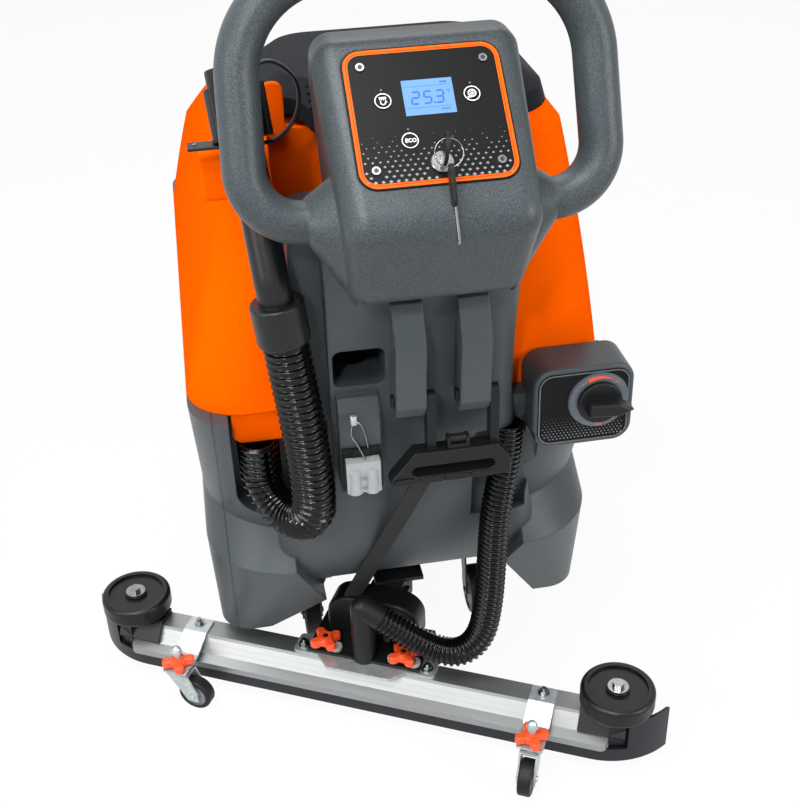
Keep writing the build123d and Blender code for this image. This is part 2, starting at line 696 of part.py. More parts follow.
def guide_rooms(grow):
    top = RAIL_Z + RAIL_THICK + GUIDE_ABOVE + DECK_LIFT + GUIDE_ROOM
    rooms = Part()
    for side in (-1, 1):
        rooms += upright(GUIDE_RADIUS + GUIDE_ROOM + grow, 0, top + grow, side * GUIDE_X, GUIDE_Y)
    return rooms


def deck_spaces():
    side = BODY_HALF_WIDTH + CUT
    rear = CHASSIS_FRONT_Y - RAIL_THICK - RAIL_ROOM
    room = block(-side, side, rear, BODY_FRONT_Y + CUT, 0, RAIL_Z + DECK_ROOM)
    return room + motor_room(0) + guide_rooms(0)


def bay_sizes():
    half = BATTERY_SIZE[0] + BAY_GAP
    rear = BATTERY_BAY_REAR_Y
    front = rear + BATTERY_SIZE[1] + 2 * BAY_GAP
    floor = PARTING_Z - BATTERY_SIZE[2] - BATTERY_HEADROOM
    return half, rear, front, floor


def inside_spaces():
    half, rear, front, floor = bay_sizes()
    bay = block(-half, half, rear, front, floor, PARTING_Z + CUT)
    water_floor = WHEEL_RADIUS * 2 + WELL_GAP + BODY_WALL
    outline = plan(BODY_HALF_WIDTH - 2 * BODY_WALL, WATER_REAR_Y, BODY_FRONT_Y - WATER_FRONT_WALL,
                   BODY_CORNER - 2 * BODY_WALL, water_floor)
    water = extrude(outline, PARTING_Z - BODY_WALL - water_floor)
    wall = half + BODY_WALL
    water -= block(-wall, wall, rear - BODY_WALL, front + BODY_WALL, 0, PARTING_Z)
    water -= motor_room(BODY_WALL) + guide_rooms(BODY_WALL)
    foot = PARTING_Z - SPOUT_DROP
    spout = upright(SPOUT_RADIUS, foot, POCKET_Z, POCKET_X, POCKET_DEEP_Y - SPOUT_RADIUS)
    spout += block(POCKET_X - SPOUT_RADIUS, POCKET_X + SPOUT_RADIUS, POCKET_DEEP_Y - SPOUT_RADIUS,
                   WATER_REAR_Y + CUT, foot, foot + SPOUT_HEIGHT)
    duct_y = NECK_REAR_Y + DUCT_COVER
    duct = block(DUCT_X, DUCT_X + DUCT_WIDTH, duct_y, duct_y + DUCT_DEPTH, PARTING_Z - DUCT_SINK,
                 NECK_TOP_Z + CUT)
    return bay + water + spout + duct


def lower_body():
    body = body_shell() + lobes() + neck(0)
    body -= arch()
    body += lugs() + connector_plate() + valve_housing()
    return body - hose_spaces() - wheel_spaces() - deck_spaces() - inside_spaces()


# Console, loop handle and control panel

def panel_plane(rise=0.0):
    tilt = math.radians(PANEL_TILT)
    normal = Vector(0, -math.sin(tilt), math.cos(tilt))
    return Plane(origin=Vector(CONSOLE_X, 0, PANEL_Z) + normal * rise, x_dir=(1, 0, 0), z_dir=normal)


def face_point(along):
    tilt = math.radians(PANEL_TILT)
    return (along * math.cos(tilt), PANEL_Z + along * math.sin(tilt))


def console_outline(inset):
    top = face_point(FACE_UP)
    nose = face_point(-FACE_DOWN)
    crest = top[0] + CONSOLE_CREST
    points = [(CHIN_Y, CHIN_Z), nose, top, (crest, top[1] + CUT), (CONSOLE_FRONT_Y, top[1] - CONSOLE_FALL),
              (CONSOLE_FRONT_Y, CHIN_Z)]
    outline = make_face(Polyline(*points, close=True))
    outline = fillet(outline.vertices().sort_by(Axis.X)[0:2], CONSOLE_NOSE_RADIUS)
    crests = [v for v in outline.vertices() if v.Y > top[1] - CUT]
    outline = fillet(crests, CONSOLE_CREST_RADIUS)
    return offset(outline, -inset) if inset else outline


def tapered(outline, half, edge):
    top = face_point(FACE_UP)[1] + CONSOLE_MARGIN
    low = CHIN_Z - CONSOLE_MARGIN
    sides = Polyline((-half + CONSOLE_TAPER, low), (half - CONSOLE_TAPER, low), (half, top), (-half,
                                                                                              top),
                                                                                              close=True)
    solid = Pos(-half, 0, 0) * extrude(Plane.YZ * outline, 2 * half)
    solid &= front_profile(make_face(sides), -2 * CONSOLE_FRONT_Y, 2 * CONSOLE_FRONT_Y)
    ends = solid.faces().sort_by(Axis.X)
    return fillet(ends[0].edges() + ends[-1].edges(), edge)


def handle_loop():
    lean = math.radians(HANDLE_LEAN)
    frame = Plane(origin=(0, HANDLE_LOW_Y, HANDLE_LOW_Z), x_dir=(1, 0, 0),
                  z_dir=(0, -math.sin(lean), math.cos(lean)))
    low = HANDLE_LOW_SPAN
    high = HANDLE_TOP_SPAN
    corners = [(HANDLE_ROOT, 0), (low, 0), (high, HANDLE_RISE), (-high, HANDLE_RISE), (-low, 0),
               (-HANDLE_ROOT, 0)]
    radii = [HANDLE_LOW_RADIUS, HANDLE_TOP_RADIUS, HANDLE_TOP_RADIUS, HANDLE_LOW_RADIUS]
    path = frame * FilletPolyline(*corners, radius=radii)
    section = Ellipse(HANDLE_WIDTH / 2, HANDLE_DEPTH / 2)
    return sweep(Plane(origin=path @ 0, x_dir=frame.y_dir, z_dir=path % 0) * section, path=path)


def shoulders():
    pair = Part()
    for side in (-1, 1):
        rings = []
        for out, tall, deep, drop in SHOULDER_STEPS:
            centre = (side * (HANDLE_ROOT + out), HANDLE_LOW_Y, HANDLE_LOW_Z + drop)
            rings.append(Plane(origin=centre, x_dir=(0, 0, 1), z_dir=(1, 0, 0)) * Ellipse(tall, deep))
        pair += loft(rings)
    return pair


def console():
    shell = tapered(console_outline(0), CONSOLE_HALF_WIDTH, CONSOLE_EDGE) + shoulders() + handle_loop()
    shell -= tapered(console_outline(CONSOLE_WALL), CONSOLE_HALF_WIDTH - CONSOLE_WALL,
                     CONSOLE_EDGE - CONSOLE_WALL)
    shell = Pos(CONSOLE_X, 0, 0) * shell
    seat = RectangleRounded(PANEL_WIDTH + PART_GAP, PANEL_HEIGHT + PART_GAP, PANEL_CORNER)
    window = RectangleRounded(PANEL_WIDTH - 2 * PANEL_LEDGE, PANEL_HEIGHT - 2 * PANEL_LEDGE, PANEL_CORNER)
    shell -= extrude(panel_plane(-PANEL_SINK) * seat, PANEL_SINK + CUT)
    shell -= extrude(panel_plane(-PANEL_SINK) * window, -WINDOW_DEPTH)
    return shell - neck(PART_GAP)


def panel_disc(place, radius, low, high):
    return extrude(panel_plane(low) * (Pos(*place) * Circle(radius)), high - low)


def panel_top():
    return PANEL_THICK - PANEL_SINK


def screw_places():
    return [(x, y) for x in (-SCREW_X, SCREW_X) for y in (-SCREW_Y, SCREW_Y)]


def control_panel():
    low = -PANEL_SINK - CUT
    high = panel_top() + CUT
    outline = RectangleRounded(PANEL_WIDTH, PANEL_HEIGHT, PANEL_CORNER)
    plate = extrude(panel_plane(-PANEL_SINK) * outline, PANEL_THICK)
    window = Pos(*DISPLAY_PLACE) * Rectangle(DISPLAY_WIDTH, DISPLAY_HEIGHT)
    plate -= extrude(panel_plane(low) * window, high - low)
    for place in BUTTON_PLACES.values():
        plate -= panel_disc(place, BUTTON_RADIUS + SEAT_GAP, low, high)
    plate -= panel_disc(KEY_PLACE, KEY_BARREL_RADIUS + SEAT_GAP, low, high)
    for place in screw_places():
        plate -= panel_disc(place, SCREW_SHANK, low, high)
    return plate


def panel_screws():
    top = panel_top()
    screws = []
    for place in screw_places():
        head = panel_disc(place, SCREW_RADIUS, top, top + SCREW_HEAD)
        head += panel_disc(place, SCREW_SHANK, -PANEL_SINK, top)
        slot = Pos(*place) * (Rectangle(*SCREW_SLOT) + Rot(0, 0, 90) * Rectangle(*SCREW_SLOT))
        screws.append(head - extrude(panel_plane(top + SCREW_HEAD / 2) * slot, SCREW_HEAD))
    return Compound(screws)


def display():
    pane = Pos(*DISPLAY_PLACE) * Rectangle(DISPLAY_WIDTH, DISPLAY_HEIGHT)
    back = Pos(*DISPLAY_PLACE) * Rectangle(DISPLAY_WIDTH + 2 * DISPLAY_FLANGE,
                                           DISPLAY_HEIGHT + 2 * DISPLAY_FLANGE)
    base = panel_plane(-PANEL_SINK)
    return extrude(base * pane, PANEL_THICK - DISPLAY_SINK) + extrude(base * back, -DISPLAY_DEPTH)


def button(place):
    cap = panel_disc(place, BUTTON_RADIUS, SEAT_GAP - PANEL_SINK, panel_top() + BUTTON_RISE)
    return fillet(cap.edges().group_by(Axis.Z)[-1], EDGE_FINE)


def key_bezel():
    top = panel_top()
    ring = panel_disc(KEY_PLACE, KEY_BEZEL_RADIUS, top, top + KEY_BEZEL_RISE)
    ring = chamfer(ring.faces().sort_by(Axis.Z)[-1].edges(), EDGE_FINE)
    return ring - panel_disc(KEY_PLACE, KEY_BARREL_RADIUS + RUN_GAP, top - CUT, top + KEY_BEZEL_RISE + CUT)


def key_spot(rise):
    return panel_plane(panel_top() + rise).location * Pos(*KEY_PLACE) * Rot(0, 0, KEY_TURN)


def key_hole():
    return key_spot(KEY_HOLE_RISE) * Pos(0, KEY_HOLE_OUT, 0)


def key_bow(size):
    thick, wide, tall = size
    bow = Pos(0, 0, tall / 2) * Box(thick, wide, tall)
    return fillet(bow.edges().filter_by(Axis.X), KEY_BOW_ROUND * min(wide, tall))


def key():
    depth = PANEL_THICK + KEY_BARREL_DEPTH
    barrel = extrude(key_spot(-depth) * Circle(KEY_BARREL_RADIUS), depth + KEY_BEZEL_RISE)
    blade = extrude(key_spot(KEY_BEZEL_RISE) * Rectangle(*KEY_BLADE), KEY_BOW_RISE)
    bow = key_spot(KEY_BOW_RISE) * key_bow(KEY_BOW)
    return barrel + blade + bow - key_hole() * Rot(0, 90, 0) * Cylinder(KEY_HOLE_RADIUS, KEY_BOW[1])


def spare_key():
    slack = KEY_HOLE_RADIUS - RING_WIRE - RING_SLACK
    low = -2 * RING_RADIUS
    ring = Pos(0, 0, -RING_RADIUS) * Rot(90, 0, 0) * Torus(RING_RADIUS, RING_WIRE)
    hole = low - slack
    end = hole + SPARE_HOLE_INSET - SPARE_BOW[2]
    bow = Pos(0, 0, end) * key_bow(SPARE_BOW) - crosswise(KEY_HOLE_RADIUS, -SPARE_BOW[1], SPARE_BOW[1],
                                                          0, hole)
    thick, wide, long = SPARE_BLADE
    blade = block(-thick / 2, thick / 2, -wide / 2, wide / 2, end - long, end + EDGE_SMALL)
    place = Location(key_hole().position) * Rot(-SPARE_LEAN, 0, 0) * Pos(0, 0, -slack)
    return place * Compound([ring, bow + blade])


# Water valve

def valve_panel():
    plate = front_profile(valve_outline(VALVE_RIM + PART_GAP), VALVE_FACE_Y + VALVE_SINK - VALVE_PLATE,
                          VALVE_FACE_Y + VALVE_SINK)
    face = VALVE_FACE_Y + VALVE_SINK - VALVE_PLATE
    place = Pos(VALVE_KNOB_X, VALVE_KNOB_Z)
    collar = front_profile(place * Circle(VALVE_COLLAR_RADIUS), face - VALVE_COLLAR, face)
    collar = chamfer(collar.faces().sort_by(Axis.Y)[0].edges(), EDGE_THIN)
    bore = front_profile(place * Circle(VALVE_STEM_RADIUS + RUN_GAP), face - VALVE_COLLAR - CUT,
                         VALVE_FACE_Y + VALVE_SINK + CUT)
    return plate + collar - bore


def valve_knob():
    place = Pos(VALVE_KNOB_X, VALVE_KNOB_Z)
    seat = VALVE_FACE_Y + VALVE_SINK - VALVE_PLATE - VALVE_COLLAR - SEAT_GAP
    disc = front_profile(place * Circle(VALVE_KNOB_RADIUS), seat - VALVE_DISC, seat)
    disc = fillet(disc.faces().sort_by(Axis.Y)[0].edges(), EDGE_THIN)
    long, wide, tip, tall = VALVE_GRIP
    nose = Polygon((0, wide / 2), (0, -wide / 2), (tip, 0), align=None)
    grip = place * Rot(0, 0, VALVE_GRIP_TURN) * (Rectangle(long, wide) + Pos(long / 2, 0) * nose)
    grip = front_profile(grip, seat - VALVE_DISC - tall, seat - VALVE_DISC)
    grip = fillet(grip.faces().sort_by(Axis.Y)[0].edges(), EDGE_SMALL)
    stem = front_profile(place * Circle(VALVE_STEM_RADIUS), seat, VALVE_FACE_Y + VALVE_SINK)
    return disc + grip + stem


# Squeegee lift lever and strap

def lever_bar():
    low = LEVER_BAR_BOTTOM_Z
    top = LEVER_BAR_TOP_Z
    left = LEVER_BAR_X - LEVER_BAR_HALF
    right = LEVER_BAR_X + LEVER_BAR_HALF
    slope, heel, ease, end, tuck = LEVER_CORNERS
    outline = make_face(Polyline((left, low), (right, low), (right, low + end), (right - ease, top),
                                 (left + slope, top), (left + tuck, low + heel), close=True))
    outline = fillet(outline.vertices(), EDGE_SMALL)
    slot = Pos(LEVER_BAR_X + LEVER_SLOT_PLACE[0], low + LEVER_SLOT_PLACE[1]) * SlotOverall(*LEVER_SLOT)
    rear = LEVER_PIVOT_Y - LEVER_DEPTH / 2 - LEVER_BAR_REACH
    bar = front_profile(outline - slot, rear, rear + LEVER_BAR_THICK)
    return fillet(bar.faces().sort_by(Axis.Y)[0].edges(), EDGE_THIN)


def lever():
    rear = LEVER_PIVOT_Y - LEVER_DEPTH / 2
    body = lever_bar()
    for x in lug_xs():
        near = x + LUG_WIDTH / 2 + MOVE_GAP
        far = x - LUG_WIDTH / 2 - MOVE_GAP
        body += block(near, near + LEVER_ARM_WIDTH, rear, rear + LEVER_DEPTH,
                      LEVER_BAR_TOP_Z - LEVER_ARM_WIDTH,
                      LEVER_PIVOT_Z)
        body += crosswise(LEVER_DEPTH / 2, near, near + LEVER_ARM_WIDTH, LEVER_PIVOT_Y, LEVER_PIVOT_Z)
        body += crosswise(LEVER_PIN_RADIUS, far - LEVER_PIN_HEAD, near, LEVER_PIVOT_Y, LEVER_PIVOT_Z)
        body += crosswise(LEVER_PIN_RADIUS + LEVER_PIN_HEAD, far - LEVER_PIN_HEAD, far, LEVER_PIVOT_Y,
                          LEVER_PIVOT_Z)
    return body


def lift_strap():
    top = Vector(*STRAP_TOP, LEVER_BAR_BOTTOM_Z - STRAP_END_GAP)
    foot = Vector(*STRAP_FOOT, HOOD_TOP_Z + STRAP_END_GAP)
    run = top - foot
    place = Plane(origin=foot, x_dir=Vector(1, 0, 0), z_dir=run)
    return extrude(place * Rectangle(STRAP_WIDTH, STRAP_THICK), run.length)


# Battery connector

def connector_front():
    return PLATE_FACE_Y - BRACKET_THICK - CONNECTOR_DEPTH


def connector_bracket():
    face = PLATE_FACE_Y - BRACKET_THICK
    left = PLATE_X - CONNECTOR_WIDTH / 2 - BRACKET_MARGIN
    right = PLATE_X + CONNECTOR_WIDTH / 2 + BRACKET_MARGIN
    back = block(left, right, face, PLATE_FACE_Y, CONNECTOR_Z - BRACKET_BELOW, CONNECTOR_Z + BRACKET_ABOVE)
    cheeks = block(left, right, face - CHEEK_DEPTH, face, CONNECTOR_Z - CHEEK_BELOW,
                   CONNECTOR_Z + CHEEK_ABOVE)
    cheeks -= block(left + BRACKET_CHEEK, right - BRACKET_CHEEK, 0, face, 0, TANK_TOP_Z)
    tab = block(PLATE_X - BRACKET_TAB / 2, PLATE_X + BRACKET_TAB / 2, face - EDGE_SMALL, face,
                CONNECTOR_Z + CHEEK_ABOVE, CONNECTOR_Z + BRACKET_ABOVE)
    return back + cheeks + tab


def battery_connector():
    front = connector_front()
    half = CONNECTOR_WIDTH / 2
    low = CONNECTOR_Z - CONNECTOR_HEIGHT / 2
    high = CONNECTOR_Z + CONNECTOR_HEIGHT / 2
    barrel = half / 2 - MOVE_GAP
    back = PLATE_FACE_Y - BRACKET_THICK
    shell = block(PLATE_X - half, PLATE_X + half, front + EDGE_SMALL, back, low, high)
    for side in (-1, 1):
        shell += upright(barrel, low - EDGE_THIN, high - CONNECTOR_HOOD, PLATE_X + side * half / 2,
                         front + barrel)
    shell -= block(PLATE_X - half, PLATE_X + half, back, back + 2 * barrel, 0, high)
    for rise in CONNECTOR_SCREW_ZS:
        place = Pos(PLATE_X, CONNECTOR_Z + rise)
        slot = Rectangle(*CONNECTOR_SLOT) + Rot(0, 0, 90) * Rectangle(*CONNECTOR_SLOT)
        screw = front_profile(place * Circle(CONNECTOR_SCREW_RADIUS), front, front + 2 * EDGE_THIN)
        shell += screw - front_profile(place * slot, front - CUT, front + CUT)
    return shell


def lanyard():
    anchor = CONNECTOR_Z + CONNECTOR_HEIGHT / 2
    route = [(PLATE_X + x, connector_front() + y, anchor + z) for x, y, z in LANYARD_ROUTE]
    path = FilletPolyline(*route, radius=LANYARD_BEND)
    loop = sweep(Plane(origin=path @ 0, z_dir=path % 0) * Circle(LANYARD_RADIUS), path=path)
    return loop + Location(route[3]) * Cylinder(*FERRULE)


# Recovery tank and lid

def tank_slope(lower):
    far = TANK_FRONT_Y + TANK_WALL
    points = [(TANK_CREST_Y, TANK_TOP_Z - lower), (far, TANK_NOSE_Z - lower), (far, TANK_TOP_Z + CUT),
              (TANK_CREST_Y, TANK_TOP_Z + CUT)]
    return side_profile(points, -TANK_HALF_WIDTH, TANK_HALF_WIDTH)


def tank_plan(share, inset, z):
    half = TANK_HALF_WIDTH + share * (TANK_TOP_HALF - TANK_HALF_WIDTH) - inset
    rear = TANK_REAR_Y + share * (TANK_TOP_REAR_Y - TANK_REAR_Y) + inset
    corner = RIM_CORNER + share * (TANK_TOP_CORNER - RIM_CORNER) - inset
    return Pos(share * TANK_TOP_X, 0, 0) * plan(half, rear, TANK_FRONT_Y - inset, corner, z)


def tank_hollow():
    rear = NECK_FRONT_Y + TANK_REAR_BULKHEAD
    levels = [(0.0, PARTING_Z + TANK_FLOOR), (TANK_MID_SHARE, TANK_MID_Z), (1.0,
                                                                            TANK_TOP_Z - TANK_SHOULDER)]
    space = loft([tank_plan(share, TANK_WALL, z) for share, z in levels])
    space -= block(-TANK_HALF_WIDTH, TANK_HALF_WIDTH, 0, rear, PARTING_Z, TANK_TOP_Z)
    return space - tank_slope(TANK_WALL + CUT)


def tank_lobe():
    rear = TANK_REAR_Y + TANK_LOBE_INSET
    lobe = block(TANK_LOBE_LEFT_X, TANK_LOBE_RIGHT_X, rear, rear + TANK_LOBE_DEPTH, TANK_LOBE_BOTTOM_Z,
                 PARTING_Z - PART_GAP)
    lobe = fillet(lobe.edges().filter_by(Axis.Y).group_by(Axis.Z)[0], TANK_LOBE_ROUND)
    inner = -NECK_HALF_WIDTH - NECK_RIM_FLARE - TANK_NECK_GAP
    return lobe + block(TANK_LOBE_LEFT_X, inner, rear, rear + TANK_LOBE_DEPTH, PARTING_Z - TANK_WALL,
                        PARTING_Z + TANK_WALL)


def recovery_tank():
    base = tank_plan(0.0, 0, PARTING_Z + SEAT_GAP)
    middle = tank_plan(TANK_MID_SHARE, 0, TANK_MID_Z)
    shoulder = tank_plan(1.0, 0, TANK_TOP_Z - TANK_SHOULDER)
    top = tank_plan(1.0, TANK_SHOULDER_INSET, TANK_TOP_Z)
    tank = loft([base, middle, shoulder]) + loft([shoulder, top], ruled=True)
    tank -= tank_slope(0)
    notch = NECK_HALF_WIDTH + NECK_RIM_FLARE + TANK_NECK_GAP
    tank -= block(-notch, notch, 0, NECK_FRONT_Y + NECK_RIM_TUCK + TANK_NECK_GAP, PARTING_Z,
                  TANK_TOP_Z + CUT)
    tank += tank_lobe()
    tank -= tank_hollow()
    opening = plan(OPENING_HALF, LID_REAR_Y + OPENING_INSET, LID_FRONT_Y - OPENING_FRONT_INSET,
                   OPENING_CORNER,
                   TANK_TOP_Z - TANK_SHOULDER - CUT)
    tank -= Pos(TANK_TOP_X, 0, 0) * extrude(opening, TANK_SHOULDER + 2 * CUT)
    tab = RectangleRounded(TAB_WIDTH, TAB_HEIGHT + EDGE_LARGE, EDGE_LARGE)
    tab = Pos(TAB_X, TANK_TOP_Z + (TAB_HEIGHT - EDGE_LARGE) / 2) * tab
    tank += front_profile(tab, TAB_Y - TAB_THICK / 2, TAB_Y + TAB_THICK / 2)
    pin_z = TANK_TOP_Z + LID_HINGE_RISE
    for side in (-1, 1):
        x0 = TANK_TOP_X + side * LID_EAR_X - LID_EAR_WIDTH / 2
        x1 = TANK_TOP_X + side * LID_EAR_X + LID_EAR_WIDTH / 2
        ear = block(x0, x1, LID_HINGE_Y - LID_KNUCKLE_RADIUS, LID_HINGE_Y + LID_KNUCKLE_RADIUS,
                    TANK_TOP_Z - CUT, pin_z)
        ear += crosswise(LID_KNUCKLE_RADIUS, x0, x1, LID_HINGE_Y, pin_z)
        tank += ear - crosswise(LID_PIN_RADIUS + RUN_GAP, x0 - CUT, x1 + CUT, LID_HINGE_Y, pin_z)
    return tank


def lid_plan(inset, rear, front, corner, z):
    return plan(LID_HALF_WIDTH - inset, LID_REAR_Y + rear, LID_FRONT_Y - front, corner, z)


def tank_lid():
    base = TANK_TOP_Z + SEAT_GAP
    mid = base + LID_EDGE_SHARE * LID_HEIGHT
    top = base + LID_HEIGHT
    rim = lid_plan(0, 0, 0, LID_CORNER, base)
    edge = lid_plan(LID_EDGE_INSET, LID_EDGE_INSET, LID_EDGE_INSET, LID_CORNER - LID_EDGE_INSET, mid)
    crown = lid_plan(LID_CROWN_INSET, LID_CROWN_REAR, LID_CROWN_FRONT, LID_CROWN_CORNER, top)
    lid = loft([rim, edge], ruled=True) + loft([edge, crown], ruled=True)
    wall = LID_EDGE_INSET + LID_WALL
    inner = lid_plan(wall, wall, wall, LID_CORNER - wall, base - CUT)
    vault = lid_plan(LID_CROWN_INSET + LID_WALL, LID_CROWN_REAR + LID_WALL, LID_CROWN_FRONT + LID_WALL,
                     LID_CROWN_CORNER - LID_WALL, top - LID_WALL)
    lid -= loft([inner, vault], ruled=True)
    for step in range(LID_GROOVES):
        share = (step + 1) / (LID_GROOVES + 1)
        y = LID_REAR_Y + LID_EDGE_INSET + share * (LID_CROWN_REAR - LID_EDGE_INSET)
        z = mid + share * (top - mid)
        lid -= block(-LID_GROOVE_HALF, LID_GROOVE_HALF, y - LID_GROOVE / 2, y + LID_GROOVE / 2,
                     z - LID_GROOVE_DEPTH,
                     top + CUT)
    pin_z = TANK_TOP_Z + LID_HINGE_RISE
    lid += crosswise(LID_KNUCKLE_RADIUS, -LID_KNUCKLE_HALF, LID_KNUCKLE_HALF, LID_HINGE_Y, pin_z)
    lid += block(-LID_KNUCKLE_HALF, LID_KNUCKLE_HALF, LID_FRONT_Y - wall, LID_HINGE_Y, pin_z - LID_LEAF / 2,
                 pin_z + LID_LEAF / 2)
    lid += crosswise(LID_PIN_RADIUS, -LID_PIN_HALF, LID_PIN_HALF, LID_HINGE_Y, pin_z)
    return Pos(TANK_TOP_X, 0, 0) * lid - upright(SCALLOP_RADIUS, base - CUT, top + CUT, *SCALLOP_PLACE)


# Hoses, drain tube and cap

def route_path(route):
    points = [Vector(p) for p in route]
    radii = []
    for before, here, after in zip(points, points[1:], points[2:]):
        turn = math.radians((here - before).get_angle(after - here))
        shorter = min((here - before).length, (after - here).length)
        radii.append(BEND_SHARE * shorter / math.tan(turn / 2))
    return FilletPolyline(*points, radius=radii), radii


def ribbed_hose(name, path, radii, sizes, plain, steady):
    outer, bore, pitch, rib = sizes
    count = int((path.length - 2 * plain) / pitch)
    straight = (path.length - count * pitch) / 2
    valley = outer / 2 - rib
    stations = [(0.0, valley)]
    for i in range(count):
        start = straight + i * pitch
        stations += [(start + share * pitch, valley + rise * rib) for share, rise in RIB_STATIONS]
    stations.append((path.length, valley))
    rings = []
    for along, radius in stations:
        share = along / path.length
        place = Plane(origin=path @ share, x_dir=steady, z_dir=path % share)
        rings.append(place * Circle(radius))
    tube = loft(rings, ruled=True)
    tube -= sweep(Plane(origin=path @ 0, x_dir=steady, z_dir=path % 0) * Circle(bore / 2), path=path)
    section = -path.length * (bore / 2) ** 2
    for (start, low), (end, high) in zip(stations, stations[1:]):
        section += (end - start) * (low ** 2 + low * high + high ** 2) / 3
    print(f"{name}: {count} ribs, length {path.length:.0f}, radii {[round(r) for r in radii]}, "
          f"volume over section times length {tube.volume / (math.pi * section):.3f}")
    return tube


def suction_leave():
    fall = math.radians(SUCTION_DROP)
    way = Vector(math.cos(fall), 0, -math.sin(fall)).rotate(Axis.Z, SWING_REST)
    bend = squeegee_place() * Pos(0, BEAM_Y, SPIGOT_BEND_Z)
    start = bend.position + way * ELBOW_REACH
    split = start + way * SUCTION_LOWER_RUN
    return start, split, split + way * SUCTION_FIRST_RUN


def drain_hose():
    path, radii = route_path(DRAIN_ROUTE)
    sizes = (DRAIN_OD, DRAIN_BORE, DRAIN_PITCH, DRAIN_RIB)
    return ribbed_hose("drain_hose", path, radii, sizes, DRAIN_OD / 2, DRAIN_STEADY)


def suction_hoses():
    start, split, turn = suction_leave()
    sizes = (SUCTION_OD, SUCTION_BORE, SUCTION_PITCH, SUCTION_RIB)
    lower = ribbed_hose("suction_hose_lower", Line(start, split), [], sizes, 0, SUCTION_STEADY)
    path, radii = route_path([split, turn] + SUCTION_UPPER_ROUTE)
    return lower, ribbed_hose("suction_hose_upper", path, radii, sizes, 0, SUCTION_STEADY)


def tube_path():
    end = Vector(*DRAIN_ROUTE[0])
    way = (end - Vector(*DRAIN_ROUTE[1])).normalized()
    start = end + way * (CUFF_LENGTH - EDGE_SMALL)
    return FilletPolyline(start, end + way * (CUFF_LENGTH + TUBE_ROOT), Vector(*TUBE_TOP), radius=TUBE_BEND)


def drain_tube():
    end = Vector(*DRAIN_ROUTE[0])
    cuff = extrude(Plane(origin=end, z_dir=end - Vector(*DRAIN_ROUTE[1])) * Circle(CUFF_RADIUS),
                   CUFF_LENGTH)
    cuff = fillet(cuff.edges(), EDGE_SMALL)
    path = tube_path()
    return cuff + sweep(Plane(origin=path @ 0, z_dir=path % 0) * Circle(TUBE_RADIUS), path=path)


def drain_cap():
    way = tube_path() % 1
    base = Plane(origin=Vector(*TUBE_TOP) + way * SEAT_GAP, x_dir=(1, 0, 0), z_dir=way)
    knurl = Circle(CAP_RADIUS)
    for i in range(CAP_GRIPS):
        knurl -= Rot(0, 0, i * 360 / CAP_GRIPS) * Pos(CAP_RADIUS + CAP_GRIP_OUT,
                                                      0) * Circle(CAP_GRIP_RADIUS)
    skirt = extrude(base * knurl, CAP_SKIRT)
    crown = extrude(base.offset(CAP_SKIRT) * Circle(CAP_RADIUS - CAP_CROWN_INSET), CAP_HEIGHT - CAP_SKIRT)
    return skirt + fillet(crown.faces().sort_by(Axis.Z)[-1].edges(), EDGE_SMALL)


# Chassis, drive, casters and what lies inside

def chassis_frame():
    top = BODY_FLOOR_Z
    low = top - CHASSIS_THICK
    plate = block(-CHASSIS_HALF_WIDTH, CHASSIS_HALF_WIDTH, CHASSIS_REAR_Y, CHASSIS_FRONT_Y, low, top)
    plate = fillet(plate.edges().filter_by(Axis.Z), CHASSIS_CORNER)
    plate += block(-TONGUE_SIDE, TONGUE_SIDE, TONGUE_REAR_Y, CHASSIS_REAR_Y + CUT, low, top)
    rear = CHASSIS_FRONT_Y - RAIL_THICK
    rail_top = RAIL_Z + RAIL_THICK
    for side in (-1, 1):
        plate -= upright(REAR_STEM + RUN_GAP, low - CUT, top + CUT, side * REAR_CASTER_X, REAR_CASTER_Y)
        x0, x1 = sorted((side * (GUIDE_X - RAIL_HALF_WIDTH), side * (GUIDE_X + RAIL_HALF_WIDTH)))
        rail = block(x0, x1, rear, GUIDE_Y + RAIL_END, RAIL_Z, rail_top)
        rail += block(x0, x1, rear, CHASSIS_FRONT_Y, low, rail_top)
        plate += rail - upright(GUIDE_RADIUS + RUN_GAP, RAIL_Z - CUT, rail_top + CUT, side * GUIDE_X,
                                GUIDE_Y)
    collar_top = LIFT_Z - SWING_HEAD_DROP - MOVE_GAP
    pin = upright(SWING_PIN_RADIUS, collar_top - SWING_COLLAR, low, 0, SWING_Y)
    pin += upright(SWING_PIN_RADIUS + SWING_COLLAR, collar_top - SWING_COLLAR, collar_top, 0, SWING_Y)
    return Compound([plate, pin])


def gear_motor():
    top = BODY_FLOOR_Z - CHASSIS_THICK
    half = GEARBOX[0] / 2
    box = block(-half, half, AXLE_Y - GEARBOX[1] / 2, AXLE_Y + GEARBOX[1] / 2, top - GEARBOX[2], top)
    box = fillet(box.edges().filter_by(Axis.Z), EDGE_LARGE)
    long, wide, tall = DRIVE_MOTOR
    box += block(half - CUT, half + long, AXLE_Y - wide / 2, AXLE_Y + wide / 2, top - tall, top)
    end = WHEEL_X + WHEEL_WIDTH / 2 + AXLE_STUB
    return box + crosswise(AXLE_RADIUS, -end, end, AXLE_Y, WHEEL_RADIUS)


def batteries():
    floor = bay_sizes()[3]
    wide, long, tall = BATTERY_SIZE
    rear = BATTERY_BAY_REAR_Y + BAY_GAP
    radius, rise, inset = BATTERY_POST
    pair = []
    for side in (-1, 1):
        x0, x1 = sorted((side * BATTERY_APART, side * (wide - BATTERY_APART)))
        case = block(x0, x1, rear, rear + long, floor, floor + tall - rise)
        case = fillet(case.edges().filter_by(Axis.Z), EDGE_MEDIUM)
        for y in (rear + inset, rear + long - inset):
            case += upright(radius, floor + tall - rise, floor + tall, (x0 + x1) / 2, y)
        pair.append(case)
    return Compound(pair)


